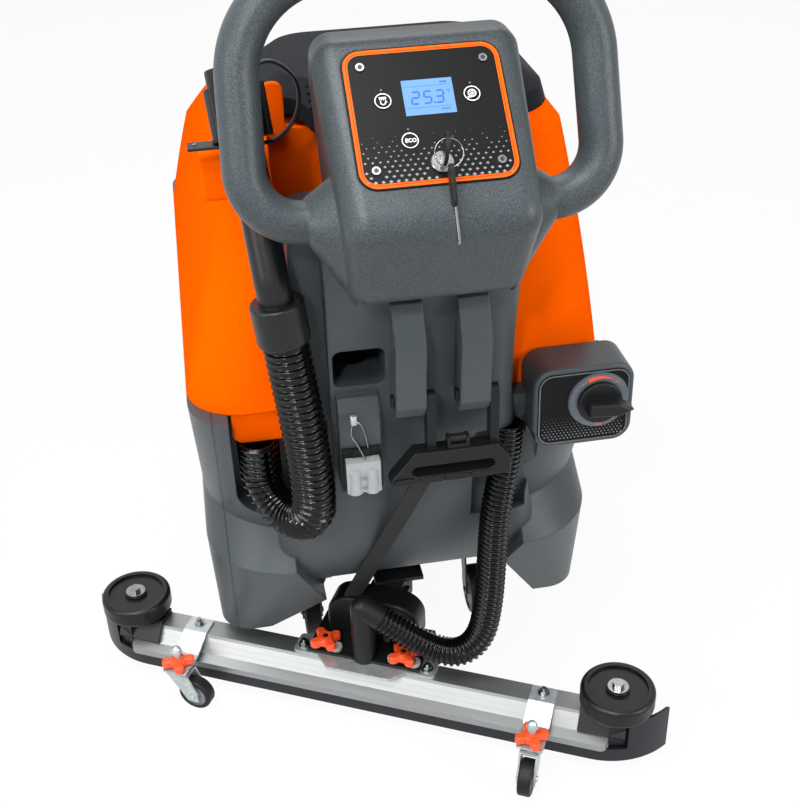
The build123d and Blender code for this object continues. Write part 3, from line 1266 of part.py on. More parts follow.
def vacuum_motor():
    low = PARTING_Z + TANK_FLOOR
    shell = Part()
    for radius, tall in VACUUM_STAGES:
        shell += upright(radius, low, low + tall, 0, VACUUM_Y)
        low += tall
    return fillet(shell.edges().group_by(Axis.Z)[-1], EDGE_MEDIUM)


def drive_wheel(side):
    tyre = fillet(Cylinder(WHEEL_RADIUS, WHEEL_WIDTH).edges(), WHEEL_EDGE)
    for end in (-1, 1):
        tyre -= Pos(0, 0, end * WHEEL_WIDTH / 2) * Cylinder(WHEEL_RADIUS - WHEEL_TREAD, 2 * WHEEL_DISH)
        tyre += Pos(0, 0, end * (WHEEL_WIDTH / 2 - WHEEL_DISH)) * Cylinder(WHEEL_HUB_RADIUS, 2 * WHEEL_DISH)
    tyre -= Cylinder(AXLE_RADIUS + RUN_GAP, WHEEL_WIDTH + 2 * CUT)
    return Pos(side * WHEEL_X, AXLE_Y, WHEEL_RADIUS) * Rot(0, 90, 0) * tyre


def fork_shape(trail, wheel_radius, wheel_width, top_z, stem_radius, stem_top):
    inner = wheel_width / 2 + MOVE_GAP
    outer = inner + FORK_PLATE
    front = stem_radius + FORK_FRONT
    back = -stem_radius - FORK_BACK
    cheek = [(front, top_z), (FORK_TOE - trail, wheel_radius - FORK_TOE), (-trail - FORK_TOE,
                                                                           wheel_radius - FORK_TOE),
             (-trail - FORK_TOE, wheel_radius + FORK_TOE), (back, top_z)]
    fork = side_profile(cheek, -outer, -inner) + side_profile(cheek, inner, outer)
    fork += block(-outer, outer, back, front, top_z - FORK_PLATE, top_z)
    fork += upright(stem_radius + FORK_RACE_MARGIN, top_z - FORK_PLATE, top_z + FORK_RACE)
    fork += upright(stem_radius, top_z, stem_top)
    end = outer + FORK_AXLE_STUB
    return fork + crosswise(FORK_AXLE_RADIUS, -end, end, -trail, wheel_radius)


def small_wheel(trail, radius, width):
    wheel = fillet(Cylinder(radius, width).edges(), EDGE_SMALL)
    for end in (-1, 1):
        wheel -= Pos(0, 0, end * width / 2) * Cylinder(radius - SMALL_TREAD, 2 * SMALL_DISH)
        wheel += Pos(0, 0, end * (width / 2 - SMALL_DISH)) * Cylinder(SMALL_HUB_RADIUS, 2 * SMALL_DISH)
    wheel -= Cylinder(FORK_AXLE_RADIUS + RUN_GAP, width + 2 * CUT)
    return Pos(0, -trail, radius) * Rot(0, 90, 0) * wheel


def rear_fork(side):
    top = BODY_FLOOR_Z - CHASSIS_THICK - FORK_RACE - SEAT_GAP
    fork = fork_shape(REAR_TRAIL, REAR_WHEEL_RADIUS, REAR_WHEEL_WIDTH, top, REAR_STEM, BODY_FLOOR_Z)
    return Pos(side * REAR_CASTER_X, REAR_CASTER_Y, 0) * fork


def rear_wheel(side):
    wheel = small_wheel(REAR_TRAIL, REAR_WHEEL_RADIUS, REAR_WHEEL_WIDTH)
    return Pos(side * REAR_CASTER_X, REAR_CASTER_Y, 0) * wheel


# Scrub deck

def scrub_deck():
    plate = upright(DECK_RADIUS, DECK_TOP_Z - DECK_PLATE, DECK_TOP_Z, 0, DECK_Y)
    plate = fillet(plate.edges().group_by(Axis.Z)[-1], DECK_EDGE)
    rim = upright(DECK_RADIUS, DECK_RIM_Z, DECK_TOP_Z - DECK_PLATE, 0, DECK_Y)
    rim -= upright(DECK_RADIUS - DECK_RIM, 0, DECK_TOP_Z, 0, DECK_Y)
    deck = plate + rim - upright(SHAFT_RADIUS + RUN_GAP, 0, DECK_TOP_Z + CUT, 0, DECK_Y)
    foot = DECK_TOP_Z - CUT
    for side in (-1, 1):
        x = side * GUIDE_X
        deck += upright(GUIDE_RADIUS, foot, RAIL_Z + RAIL_THICK + GUIDE_ABOVE, x, GUIDE_Y)
        deck += upright(GUIDE_RADIUS + GUIDE_BOSS, foot, DECK_TOP_Z + GUIDE_BOSS, x, GUIDE_Y)
    return deck


def deck_motor():
    body = upright(MOTOR_RADIUS, DECK_TOP_Z, DECK_TOP_Z + MOTOR_HEIGHT, 0, DECK_Y)
    body = fillet(body.edges().group_by(Axis.Z)[-1], EDGE_LARGE)
    top = DECK_TOP_Z + SHAFT_DEPTH + MOVE_GAP
    return body - upright(SHAFT_RADIUS + RUN_GAP, DECK_TOP_Z - CUT, top, 0, DECK_Y)


def pad_driver():
    top = PAD_THICK + DRIVER_THICK
    disc = upright(PAD_RADIUS - DRIVER_INSET, PAD_THICK, top, 0, DECK_Y)
    return disc + upright(SHAFT_RADIUS, top - CUT, DECK_TOP_Z + SHAFT_DEPTH, 0, DECK_Y)


def floor_pad():
    ring = upright(PAD_RADIUS, 0, PAD_THICK, 0, DECK_Y)
    return ring - upright(PAD_HOLE_RADIUS, -CUT, PAD_THICK + CUT, 0, DECK_Y)


# Squeegee, drawn about its swing axis

def squeegee_place():
    return Pos(0, SWING_Y, 0) * Rot(0, 0, SWING_REST)


def swing_bracket():
    top = BODY_FLOOR_Z - CHASSIS_THICK - MOVE_GAP
    low = LIFT_Z - SWING_HEAD_DROP
    head = upright(SWING_HEAD_RADIUS, low, top) + block(-TONGUE_HALF, TONGUE_HALF, -LIFT_BACK, 0, low, top)
    head += crosswise(LIFT_EYE_RADIUS, -TONGUE_HALF, TONGUE_HALF, -LIFT_BACK, LIFT_Z)
    head -= upright(SWING_PIN_RADIUS + RUN_GAP, low - CUT, top + CUT)
    return head - crosswise(LIFT_PIN_RADIUS + RUN_GAP, -TONGUE_HALF - CUT, TONGUE_HALF + CUT, -LIFT_BACK,
                            LIFT_Z)


def hood():
    rear = BEAM_Y + BEAM_HALF_STRIP + HOOD_BACK
    outline = Pos(0, HOOD_TOP_Z - HOOD_HEIGHT / 2) * RectangleRounded(HOOD_WIDTH, HOOD_HEIGHT, HOOD_CORNER)
    outline -= Rectangle(2 * HOOD_WIDTH, 2 * (BEAM_TOP_Z + MOUNT_PLATE))
    shell = front_profile(outline, rear, rear + HOOD_DEPTH)
    round_edges = shell.faces().sort_by(Axis.Y)[0].edges().filter_by(GeomType.LINE, reverse=True)
    shell = fillet(round_edges, EDGE_MEDIUM)
    return shell - front_profile(Pos(0, HOOD_SCOOP_Z) * Circle(HOOD_SCOOP), rear - CUT,
                                 rear + HOOD_SCOOP_DEPTH)


def squeegee_arm():
    inner = TONGUE_HALF + MOVE_GAP
    outer = inner + ARM_CHEEK
    beam_front = BEAM_Y + BEAM_HALF_STRIP
    low = BEAM_TOP_Z + MOUNT_PLATE
    high = low + FOOT_THICK
    cheek = [(y - LIFT_BACK, LIFT_Z + z) for y, z in ARM_FRONT]
    cheek += [(beam_front + y, low + z) for y, z in ARM_REAR]
    arm = side_profile(cheek, -outer, -inner) + side_profile(cheek, inner, outer)
    end = outer + ARM_PIN_STUB
    arm += crosswise(LIFT_PIN_RADIUS, -end, end, -LIFT_BACK, LIFT_Z)
    foot = block(-FOOT_HALF, FOOT_HALF, beam_front - FOOT_BACK, beam_front + HOOD_BACK + HOOD_DEPTH, low,
                 high)
    foot -= upright(SPIGOT_RADIUS + PART_GAP, low - CUT, high + CUT, 0, BEAM_Y)
    for side in (-1, 1):
        foot -= upright(STUD_RADIUS + STUD_GAP, low - CUT, high + CUT, side * KNOB_X, BEAM_Y)
    return arm + hood() + foot


def mount_plate():
    low = BEAM_TOP_Z
    high = low + MOUNT_PLATE
    plate = block(-MOUNT_HALF_LENGTH, MOUNT_HALF_LENGTH, BEAM_Y - MOUNT_REAR, BEAM_Y + MOUNT_FRONT, low,
                  high)
    plate = fillet(plate.edges().filter_by(Axis.Z), EDGE_MEDIUM)
    root, tip, reach = APRON
    apron = Polygon((-root, -EDGE_LARGE), (-tip, -reach), (tip, -reach), (root, -EDGE_LARGE), align=None)
    plate += extrude(Pos(0, BEAM_Y, low) * apron, MOUNT_PLATE)
    plate -= upright(SPIGOT_BORE, low - CUT, high + CUT, 0, BEAM_Y)
    for side in (-1, 1):
        plate -= upright(STUD_RADIUS + STUD_GAP, low - CUT, high + CUT, side * KNOB_X, BEAM_Y)
    return plate


def spigot():
    low = BEAM_TOP_Z + MOUNT_PLATE
    bend = Pos(0, 0, SPIGOT_BEND_Z)
    leave = bend * Rot(0, 90 + SUCTION_DROP, 0) * Pos(0, 0, ELBOW_REACH / 2)
    tube = upright(SPIGOT_RADIUS, low, SPIGOT_BEND_Z) + bend * Sphere(SPIGOT_RADIUS)
    tube += leave * Cylinder(SPIGOT_RADIUS, ELBOW_REACH)
    tube -= upright(SPIGOT_BORE, low - CUT, SPIGOT_BEND_Z) + bend * Sphere(SPIGOT_BORE + EDGE_FINE)
    tube -= leave * Cylinder(SPIGOT_BORE, ELBOW_REACH + CUT)
    return Pos(0, BEAM_Y, 0) * tube


def beam_shoulder():
    return (-BEAM_HALF_STRIP - BEAM_EDGE[0], BEAM_TOP_Z - BEAM_EDGE[1])


def beam_step():
    return (BEAM_STEP[0] - BEAM_LIP_BACK, BEAM_LIP_Z + BEAM_STEP[1])


def beam():
    strip = BEAM_HALF_STRIP
    lip = BEAM_LIP_BACK
    top = BEAM_TOP_Z
    low = BEAM_LIP_Z
    under = top - BEAM_SHEET
    foot = low - BEAM_SHEET
    outside = [(strip, top), (-strip, top), beam_shoulder(), beam_step(), (-lip, low + BEAM_STEP[2]),
               (-lip, low),
               (BEAM_STEP[1] - lip, low), (-strip, under - EDGE_LARGE), (BEAM_EDGE[1] - strip, under),
               (strip - BEAM_WALL, under), (strip - BEAM_WALL, foot), (strip, foot)]
    rail = side_profile([(BEAM_Y + y, z) for y, z in outside], -BEAM_HALF_LENGTH, BEAM_HALF_LENGTH)
    corners = [e for e in rail.edges().filter_by(Axis.Z) if e.center().Y < BEAM_Y - lip + CUT]
    rail = fillet(corners, BEAM_LIP_ROUND)
    upper = Vector(*beam_shoulder())
    fall = Vector(*beam_step()) - upper
    tilt = math.degrees(math.atan2(fall.Y, fall.X))
    for share in BEAM_GROOVE_SHARES:
        spot = upper + fall * share
        groove = Box(2 * (BEAM_HALF_LENGTH + CUT), BEAM_GROOVE, BEAM_GROOVE)
        rail -= Pos(0, BEAM_Y + spot.X, spot.Y) * Rot(tilt, 0, 0) * groove
    rail -= upright(SPIGOT_BORE, low, top + CUT, 0, BEAM_Y)
    for side in (-1, 1):
        rail -= upright(STUD_RADIUS + RUN_GAP, low, top + CUT, side * KNOB_X, BEAM_Y)
    return rail


def blades():
    back = BEAM_LIP_BACK - BLADE_INSET
    deep = 2 * BLADE_HALF_WIDTH
    half = BLADE_HALF_WIDTH - BLADE_THICK
    place = Pos(0, BLADE_HALF_WIDTH - back)
    strip = place * RectangleRounded(2 * BLADE_HALF_WIDTH, deep, BLADE_BEND)
    strip -= place * RectangleRounded(2 * half, deep - 2 * BLADE_THICK, BLADE_BEND - BLADE_THICK)
    strip &= Pos(0, EAR_FRONT - BLADE_HALF_WIDTH) * Rectangle(deep + CUT, deep)
    rear = extrude(Pos(0, 0, BLADE_FOOT_Z) * strip, BEAM_LIP_Z - BLADE_FOOT_Z)
    ears = strip - Rectangle(2 * (BEAM_HALF_LENGTH + EAR_CLEAR), deep)
    rear += extrude(Pos(0, 0, BEAM_LIP_Z) * ears, EAR_TOP_Z - BEAM_LIP_Z)
    front = block(-BEAM_HALF_LENGTH, BEAM_HALF_LENGTH, BEAM_HALF_STRIP, BEAM_HALF_STRIP + BLADE_THICK,
                  BLADE_FOOT_Z, BEAM_TOP_Z - BLADE_TOP_GAP)
    return Pos(0, BEAM_Y, 0) * Compound([rear, front])


def roller_brackets():
    strip = BEAM_HALF_STRIP
    top = BEAM_TOP_Z
    high = top + ROLLER_ARM
    shoulder = beam_shoulder()
    step = beam_step()
    foot_out, shoulder_out, rise = ROLLER_SKIRT
    outline = [(strip, top), (-strip, top), shoulder, step, (step[0] - foot_out, step[1] + rise),
               (shoulder[0] - shoulder_out, shoulder[1] + rise), (-strip, high), (strip, high)]
    pair = []
    for side in (-1, 1):
        x = side * ROLLER_X
        x0, x1 = sorted((side * (ROLLER_X - ROLLER_ARM_IN), side * (ROLLER_X + ROLLER_ARM_OUT)))
        arm = side_profile([(BEAM_Y + y, z) for y, z in outline], x0, x1)
        end = Polygon(*[(side * (BEAM_HALF_LENGTH + out), BEAM_Y + y) for out, y in ROLLER_END], align=None)
        arm += extrude(Pos(0, 0, ROLLER_END_Z) * end, high - ROLLER_END_Z, dir=(0, 0, 1))
        arm += upright(ROLLER_SEAT_RADIUS, top, ROLLER_Z - SEAT_GAP, x, BEAM_Y)
        arm += upright(ROLLER_BOLT, high, ROLLER_Z + ROLLER_THICK + ROLLER_NUT[1] / 2, x, BEAM_Y)
        pair.append(arm)
    return Compound(pair)


def roller(side):
    wide, deep = ROLLER_DISH
    disc = fillet(Cylinder(ROLLER_RADIUS, ROLLER_THICK).edges(), ROLLER_EDGE)
    disc -= Pos(0, 0, ROLLER_THICK / 2) * Cylinder(ROLLER_RADIUS - wide, 2 * deep)
    disc += Pos(0, 0, ROLLER_THICK / 2 - deep) * Cylinder(ROLLER_HUB_RADIUS, 2 * deep)
    disc -= Cylinder(ROLLER_BOLT + RUN_GAP, ROLLER_THICK + 2 * CUT)
    return Pos(side * ROLLER_X, BEAM_Y, ROLLER_Z + ROLLER_THICK / 2) * disc


def caster_brackets():
    thick = CASTER_PLATE
    top = BEAM_TOP_Z
    tab = CASTER_TAB_Z
    end = -CASTER_BACK - CASTER_TAB_END
    lip = -BEAM_LIP_BACK - EDGE_THIN
    strip = BEAM_HALF_STRIP
    outline = [(strip - EDGE_SMALL, top), (strip - EDGE_SMALL, top + thick), (-strip - CUT, top + thick),
               (lip, tab + thick), (end, tab + thick), (end, tab), (lip - CUT, tab), (-strip, top)]
    pair = []
    for side in (-1, 1):
        x = side * CASTER_X
        plate = side_profile([(BEAM_Y + y, z) for y, z in outline], x - CASTER_STRIP / 2,
                             x + CASTER_STRIP / 2)
        plate = fillet(plate.edges().filter_by(Axis.Z), EDGE_THIN)
        pair.append(plate - upright(CASTER_STEM + RUN_GAP, tab - CUT, top, x, BEAM_Y - CASTER_BACK))
    return Compound(pair)


def bolt(x, base, washer, nut, end):
    piece = upright(washer[0], base, base + washer[1], x, BEAM_Y)
    piece += extrude(Pos(x, BEAM_Y, base + washer[1]) * RegularPolygon(nut[0], 6), nut[1])
    if end:
        tip = base + washer[1] + nut[1]
        piece += upright(end[0], tip - CUT, tip + end[1], x, BEAM_Y)
    return piece


def squeegee_bolts():
    bolts = []
    for side in (-1, 1):
        mount_x = side * (MOUNT_HALF_LENGTH - BOLT_INSET)
        bolts.append(bolt(side * CASTER_X, BEAM_TOP_Z + CASTER_PLATE, BOLT_WASHER, BOLT_NUT, BOLT_END))
        bolts.append(bolt(mount_x, BEAM_TOP_Z + MOUNT_PLATE, BOLT_WASHER, BOLT_NUT, BOLT_END))
        bolts.append(upright(STUD_RADIUS, BEAM_TOP_Z - STUD_SINK, BEAM_TOP_Z + STUD_ABOVE, side * KNOB_X,
                             BEAM_Y))
        base = ROLLER_Z + ROLLER_THICK + SEAT_GAP
        cap = bolt(side * ROLLER_X, base, ROLLER_WASHER, ROLLER_NUT, None)
        top = ROLLER_Z + ROLLER_THICK + ROLLER_NUT[1] / 2
        bolts.append(cap - upright(ROLLER_BOLT, 0, top, side * ROLLER_X, BEAM_Y))
    return Compound(bolts)


def knob_standoffs():
    base = BEAM_TOP_Z + MOUNT_PLATE + FOOT_THICK
    feet = []
    for side in (-1, 1):
        for step in (-STANDOFF_APART, STANDOFF_APART):
            foot = upright(STANDOFF_RADIUS, base, base + STANDOFF_HEIGHT, side * KNOB_X + step, BEAM_Y)
            feet.append(fillet(foot.edges().group_by(Axis.Z)[-1], EDGE_THIN))
    return Compound(feet)


def star_knob(bore):
    slot = SlotOverall(KNOB_SPAN, KNOB_ARM)
    star = extrude(Circle(KNOB_CORE) + slot + Rot(0, 0, 90) * slot, KNOB_THICK)
    star = fillet(star.faces().sort_by(Axis.Z)[-1].edges(), EDGE_SMALL)
    radius, above, below = KNOB_BOSS
    star += upright(radius, KNOB_THICK - CUT, KNOB_THICK + above) + upright(radius, -below, CUT)
    return star - upright(bore + RUN_GAP, -below - CUT, KNOB_THICK + above + CUT)


def clamp_knob(side):
    z = BEAM_TOP_Z + MOUNT_PLATE + FOOT_THICK + STANDOFF_HEIGHT + KNOB_BOSS[2] + SEAT_GAP
    return Pos(side * KNOB_X, BEAM_Y, z) * Rot(0, 0, KNOB_TURNS[0]) * star_knob(STUD_RADIUS)


def caster_knob(side):
    z = CASTER_TAB_Z + CASTER_PLATE + KNOB_BOSS[2] + SEAT_GAP
    return Pos(side * CASTER_X, BEAM_Y - CASTER_BACK, z) * Rot(0, 0, KNOB_TURNS[1]) * star_knob(CASTER_STEM)


def caster_turn(word, side):
    return Pos(side * CASTER_X, BEAM_Y - CASTER_BACK, 0) * Rot(0, 0, CASTER_TURNS[word])


def caster_fork():
    top = CASTER_TAB_Z - FORK_RACE - SEAT_GAP
    stem_top = CASTER_TAB_Z + CASTER_PLATE + CASTER_STEM_ABOVE
    fork = fork_shape(CASTER_TRAIL, CASTER_WHEEL_RADIUS, CASTER_WHEEL_WIDTH, top, CASTER_STEM, stem_top)
    radius, tall = CASTER_NUT
    fork += extrude(Pos(0, 0, stem_top - tall - EDGE_SMALL) * RegularPolygon(radius, 6), tall)
    return fork + Pos(0, 0, stem_top - EDGE_SMALL) * Sphere(CASTER_DOME)


def caster_wheel():
    return small_wheel(CASTER_TRAIL, CASTER_WHEEL_RADIUS, CASTER_WHEEL_WIDTH)


def build_squeegee():
    pieces = {
        "swing_bracket": swing_bracket(), "squeegee_arm": squeegee_arm(), "mount_plate": mount_plate(),
        "spigot": spigot(), "squeegee_beam": beam(), "squeegee_blades": blades(),
        "roller_brackets": roller_brackets(), "caster_brackets": caster_brackets(),
        "squeegee_bolts": squeegee_bolts(), "knob_standoffs": knob_standoffs(),
    }
    for side, word in SIDES:
        pieces[f"{word}_roller"] = roller(side)
        pieces[f"{word}_clamp_knob"] = clamp_knob(side)
        pieces[f"{word}_caster_knob"] = caster_knob(side)
        pieces[f"{word}_caster_fork"] = caster_turn(word, side) * caster_fork()
        pieces[f"{word}_caster_wheel"] = caster_turn(word, side) * caster_wheel()
    return {name: squeegee_place() * piece for name, piece in pieces.items()}


def build_nodes():
    nodes = {
        "lower_body": lower_body(), "console": console(), "control_panel": control_panel(),
        "panel_screws": panel_screws(), "display": display(), "key_bezel": key_bezel(), "key": key(),
        "spare_key": spare_key(), "valve_panel": valve_panel(), "valve_knob": valve_knob(),
        "lever": lever(),
        "lift_strap": lift_strap(), "connector_bracket": connector_bracket(),
        "battery_connector": battery_connector(), "lanyard": lanyard(), "recovery_tank": recovery_tank(),
        "tank_lid": tank_lid(), "drain_tube": drain_tube(), "drain_cap": drain_cap(),
        "drain_hose": drain_hose(), "chassis_frame": chassis_frame(), "gear_motor": gear_motor(),
        "batteries": batteries(), "vacuum_motor": vacuum_motor(), "scrub_deck": scrub_deck(),
        "deck_motor": deck_motor(), "pad_driver": pad_driver(), "floor_pad": floor_pad(),
    }
    nodes["suction_hose_lower"], nodes["suction_hose_upper"] = suction_hoses()
    for name, place in BUTTON_PLACES.items():
        nodes[name] = button(place)
    for side, word in SIDES:
        nodes[f"{word}_drive_wheel"] = drive_wheel(side)
        nodes[f"{word}_rear_fork"] = rear_fork(side)
        nodes[f"{word}_rear_wheel"] = rear_wheel(side)
    nodes.update(build_squeegee())
    return nodes


def main():
    nodes = build_nodes()
    box = Compound([piece for name, piece in nodes.items() if name not in HOSES]).bounding_box()
    shift = Vector(-(box.min.X + box.max.X) / 2, -(box.min.Y + box.max.Y) / 2, -box.min.Z)
    os.makedirs("parts", exist_ok=True)
    for name, piece in nodes.items():
        export_step(Location(shift) * piece, f"parts/{name}.step")
    print(f"origin shift {tuple(round(v, 4) for v in shift)}, size {tuple(round(v, 1) for v in box.size)}")


main()
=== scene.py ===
import json
import math
import random

import bmesh
import bpy
from mathutils import Matrix, Vector


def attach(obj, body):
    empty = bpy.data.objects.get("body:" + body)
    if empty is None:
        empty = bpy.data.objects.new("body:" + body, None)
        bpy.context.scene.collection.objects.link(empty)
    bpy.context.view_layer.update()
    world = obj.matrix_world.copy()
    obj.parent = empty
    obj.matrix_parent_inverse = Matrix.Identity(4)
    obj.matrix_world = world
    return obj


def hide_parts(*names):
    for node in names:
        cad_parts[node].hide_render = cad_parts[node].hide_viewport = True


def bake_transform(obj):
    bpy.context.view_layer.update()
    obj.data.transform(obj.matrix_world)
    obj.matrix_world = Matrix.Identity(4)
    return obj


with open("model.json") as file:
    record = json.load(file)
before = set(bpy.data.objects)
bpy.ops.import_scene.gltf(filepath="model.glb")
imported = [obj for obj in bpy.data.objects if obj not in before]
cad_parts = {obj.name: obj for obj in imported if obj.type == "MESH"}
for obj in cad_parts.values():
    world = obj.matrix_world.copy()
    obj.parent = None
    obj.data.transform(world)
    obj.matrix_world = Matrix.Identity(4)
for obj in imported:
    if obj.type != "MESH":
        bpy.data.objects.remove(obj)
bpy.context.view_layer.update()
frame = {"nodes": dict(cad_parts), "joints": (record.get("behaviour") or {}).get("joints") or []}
print("frame loaded:", len(frame["nodes"]), "nodes")

# the part is drawn round the middle of the body, then moved so that the box stands on the origin
drawing = {"shift": (63.4716, -461.3822, 0.0), "swingYaw": -27.6, "consoleX": 16.0, "panelZ": 907.0,
           "panelTilt": 41.6}


def spot(x, y, z):
    moved = Vector((x, y, z)) + Vector(drawing["shift"])
    return moved / 1000


def panelSpot(across, up, rise):
    tilt = math.radians(drawing["panelTilt"])
    y = up * math.cos(tilt) - rise * math.sin(tilt)
    z = up * math.sin(tilt) + rise * math.cos(tilt)
    return spot(drawing["consoleX"] + across, y, drawing["panelZ"] + z)


# screen values 0 to 255 to linear light
def tone(red, green, blue):
    parts = [value / 255 for value in (red, green, blue)]
    return [p / 12.92 if p <= 0.04045 else ((p + 0.055) / 1.055) ** 2.4 for p in parts] + [1.0]


# camera, solved from the photograph's own corners
cameraSetup = {"place": (-215.0, -1187.0, 1331.0), "yaw": 9.12, "pitch": 32.29, "roll": -1.94,
               "focal": 1249.0, "height": 806.0, "sensor": 36.0, "clip": (0.05, 60)}


def placeCamera(setup):
    yaw, pitch, roll = [math.radians(setup[key]) for key in ("yaw", "pitch", "roll")]
    ahead = Vector((math.sin(yaw) * math.cos(pitch), math.cos(yaw) * math.cos(pitch), -math.sin(pitch)))
    right = Vector((math.cos(yaw), -math.sin(yaw), 0))
    up = right.cross(ahead)
    rolledRight = math.cos(roll) * right + math.sin(roll) * up
    rolledUp = math.cos(roll) * up - math.sin(roll) * right
    data = bpy.data.cameras.new("photoCamera")
    data.sensor_fit = "AUTO"
    data.sensor_width = setup["sensor"]
    data.lens = setup["focal"] * setup["sensor"] / setup["height"]
    data.clip_start, data.clip_end = setup["clip"]
    camera = bpy.data.objects.new("photoCamera", data)
    bpy.context.scene.collection.objects.link(camera)
    axes = Matrix((rolledRight, rolledUp, -ahead)).transposed().to_4x4()
    camera.matrix_world = Matrix.Translation(spot(*setup["place"])) @ axes
    bpy.context.scene.camera = camera


placeCamera(cameraSetup)
bpy.context.scene.view_settings.view_transform = "Standard"
print("camera placed")

# materials: one look for each finish, sizes in millimetres
inkLook = dict(fleckSize=0.6, rough=0.4, roughSpread=0.05, bump=0.01, bumpSize=0.3, edge=0.0)
looks = {
    "greyShell": dict(colour=(51, 57, 60), fleck=(77, 84, 88), fleckSize=1.3, rough=0.4, roughSpread=0.12,
                      bump=0.3, bumpSize=1.4, edge=3.0, gloss=0.28),
    "orangeShell": dict(colour=(255, 92, 0), fleck=(255, 98, 3), fleckSize=3.0, rough=0.5, roughSpread=0.06,
                        bump=0.03, bumpSize=1.2, edge=3.0, gloss=0.0),
    "lidPlastic": dict(colour=(26, 28, 30), fleck=(36, 38, 41), fleckSize=1.0, fleckShare=0.45, rough=0.5,
                       roughSpread=0.12, bump=0.12, bumpSize=1.2, edge=2.0, gloss=0.02),
    "panelFilm": dict(colour=(15, 15, 16), fleck=(21, 21, 22), fleckSize=0.5, rough=0.36, roughSpread=0.06,
                      bump=0.012, bumpSize=0.4, edge=0.0, gloss=0.12),
    "borderOrange": dict(inkLook, colour=(255, 94, 10), fleck=(255, 102, 18), bumpSize=0.4, gloss=0.12),
    "printWhite": dict(inkLook, colour=(226, 228, 228), fleck=(240, 241, 241)),
    "printGrey": dict(inkLook, colour=(128, 128, 130), fleck=(146, 146, 148)),
    "printRed": dict(inkLook, colour=(238, 78, 30), fleck=(246, 92, 44)),
    "blackPlastic": dict(colour=(18, 19, 20), fleck=(28, 29, 30), fleckSize=1.0, rough=0.38, roughSpread=0.14,
                         bump=0.05, bumpSize=1.1, edge=0.8, gloss=0.24),
    "tubeBlack": dict(colour=(15, 16, 18), fleck=(28, 30, 32), fleckSize=1.3, rough=0.3, roughSpread=0.12,
                      bump=0.35, bumpSize=1.4, edge=1.0, gloss=0.35),
    "hoseBlack": dict(colour=(5, 5, 6), fleck=(9, 9, 10), fleckSize=3.0, rough=0.1, roughSpread=0.04,
                      bump=0.05, bumpSize=2.4, edge=0.0, gloss=0.3),
    "keyBlack": dict(colour=(14, 14, 15), fleck=(22, 22, 23), fleckSize=0.8, rough=0.42, roughSpread=0.1,
                     bump=0.03, bumpSize=0.6, edge=0.4, gloss=0.25),
    "connectorGrey": dict(colour=(152, 157, 158), fleck=(164, 169, 170), fleckSize=0.9, rough=0.42,
                          roughSpread=0.1, bump=0.03, bumpSize=0.8, edge=0.8),
    "knobOrange": dict(colour=(246, 76, 26), fleck=(255, 92, 40), fleckSize=1.0, rough=0.36, roughSpread=0.1,
                       bump=0.04, bumpSize=1.0, edge=1.2),
    "tyreBlack": dict(colour=(18, 18, 19), fleck=(26, 26, 27), fleckSize=1.4, rough=0.5, roughSpread=0.14,
                      bump=0.06, bumpSize=1.2, edge=0.8, gloss=0.25),
    "rollerBlack": dict(colour=(12, 12, 13), fleck=(20, 20, 21), fleckSize=1.2, rough=0.34, roughSpread=0.12,
                        bump=0.04, bumpSize=1.2, edge=0.8, gloss=0.3),
    "bladeRubber": dict(colour=(18, 21, 29), fleck=(24, 28, 37), fleckSize=2.0, rough=0.42, roughSpread=0.1,
                        bump=0.04, bumpSize=1.6, edge=0.6, gloss=0.35),
    "padRed": dict(colour=(126, 34, 30), fleck=(168, 62, 52), fleckSize=2.4, rough=0.9, roughSpread=0.06,
                   bump=1.2, bumpSize=2.2, edge=0.0),
    "batteryCase": dict(colour=(34, 35, 38), fleck=(46, 47, 50), fleckSize=1.4, rough=0.5, roughSpread=0.1,
                        bump=0.06, bumpSize=1.2, edge=1.0),
    "blackSteel": dict(colour=(24, 25, 26), fleck=(38, 39, 40), fleckSize=1.0, rough=0.42, roughSpread=0.12,
                       bump=0.05, bumpSize=0.9, edge=0.8),
    "zincSteel": dict(colour=(180, 187, 189), fleck=(196, 202, 203), fleckSize=9.0, rough=0.4,
                      roughSpread=0.12, bump=0.01, bumpSize=1.5, edge=0.4, metal=0.7),
    "stainless": dict(colour=(140, 142, 143), fleck=(156, 158, 158), fleckSize=8.0, rough=0.22,
                      roughSpread=0.05, bump=0.0, bumpSize=3.0, edge=0.0, metal=1.0),
    "clearRubber": dict(colour=(176, 178, 176), fleck=(196, 198, 196), fleckSize=1.0, rough=0.22,
                        roughSpread=0.08, bump=0.02, bumpSize=0.8, edge=0.6),
    "webbing": dict(colour=(14, 14, 15), fleck=(30, 30, 31), fleckSize=0.9, rough=0.8, roughSpread=0.1,
                    bump=0.3, bumpSize=1.0, edge=0.0),
    "screenBlue": dict(colour=(100, 140, 186), fleck=(108, 148, 192), fleckSize=0.5, rough=0.18,
                       roughSpread=0.03, bump=0.0, bumpSize=0.5, edge=0.0, glow=0.1, gloss=0.1),
    "digitBlue": dict(colour=(48, 82, 196), fleck=(58, 92, 204), fleckSize=0.5, rough=0.3, roughSpread=0.03,
                      bump=0.0, bumpSize=0.5, edge=0.0, glow=0.1, gloss=0.2),
    "dialGrey": dict(colour=(84, 91, 98), fleck=(98, 105, 112), fleckSize=1.0, rough=0.4, roughSpread=0.08,
                     bump=0.02, bumpSize=0.8, edge=0.3),
}
brushedSetup = {"colour": (166, 168, 168), "dark": 0.86, "band": (0.3, 0.7), "streak": (60.0, 0.5, 0.5),
                "streakDetail": 3.0, "rough": 0.48, "roughHalf": 0.08, "depth": 0.03, "strength": 0.4}
grain = {"fleckBelow": 0.08, "fleckAbove": 0.16, "fleckDetail": 3.0, "patch": 6, "patchDetail": 4.0,
         "bumpDetail": 2.0, "bumpStrength": 0.6, "bevelSamples": 4}


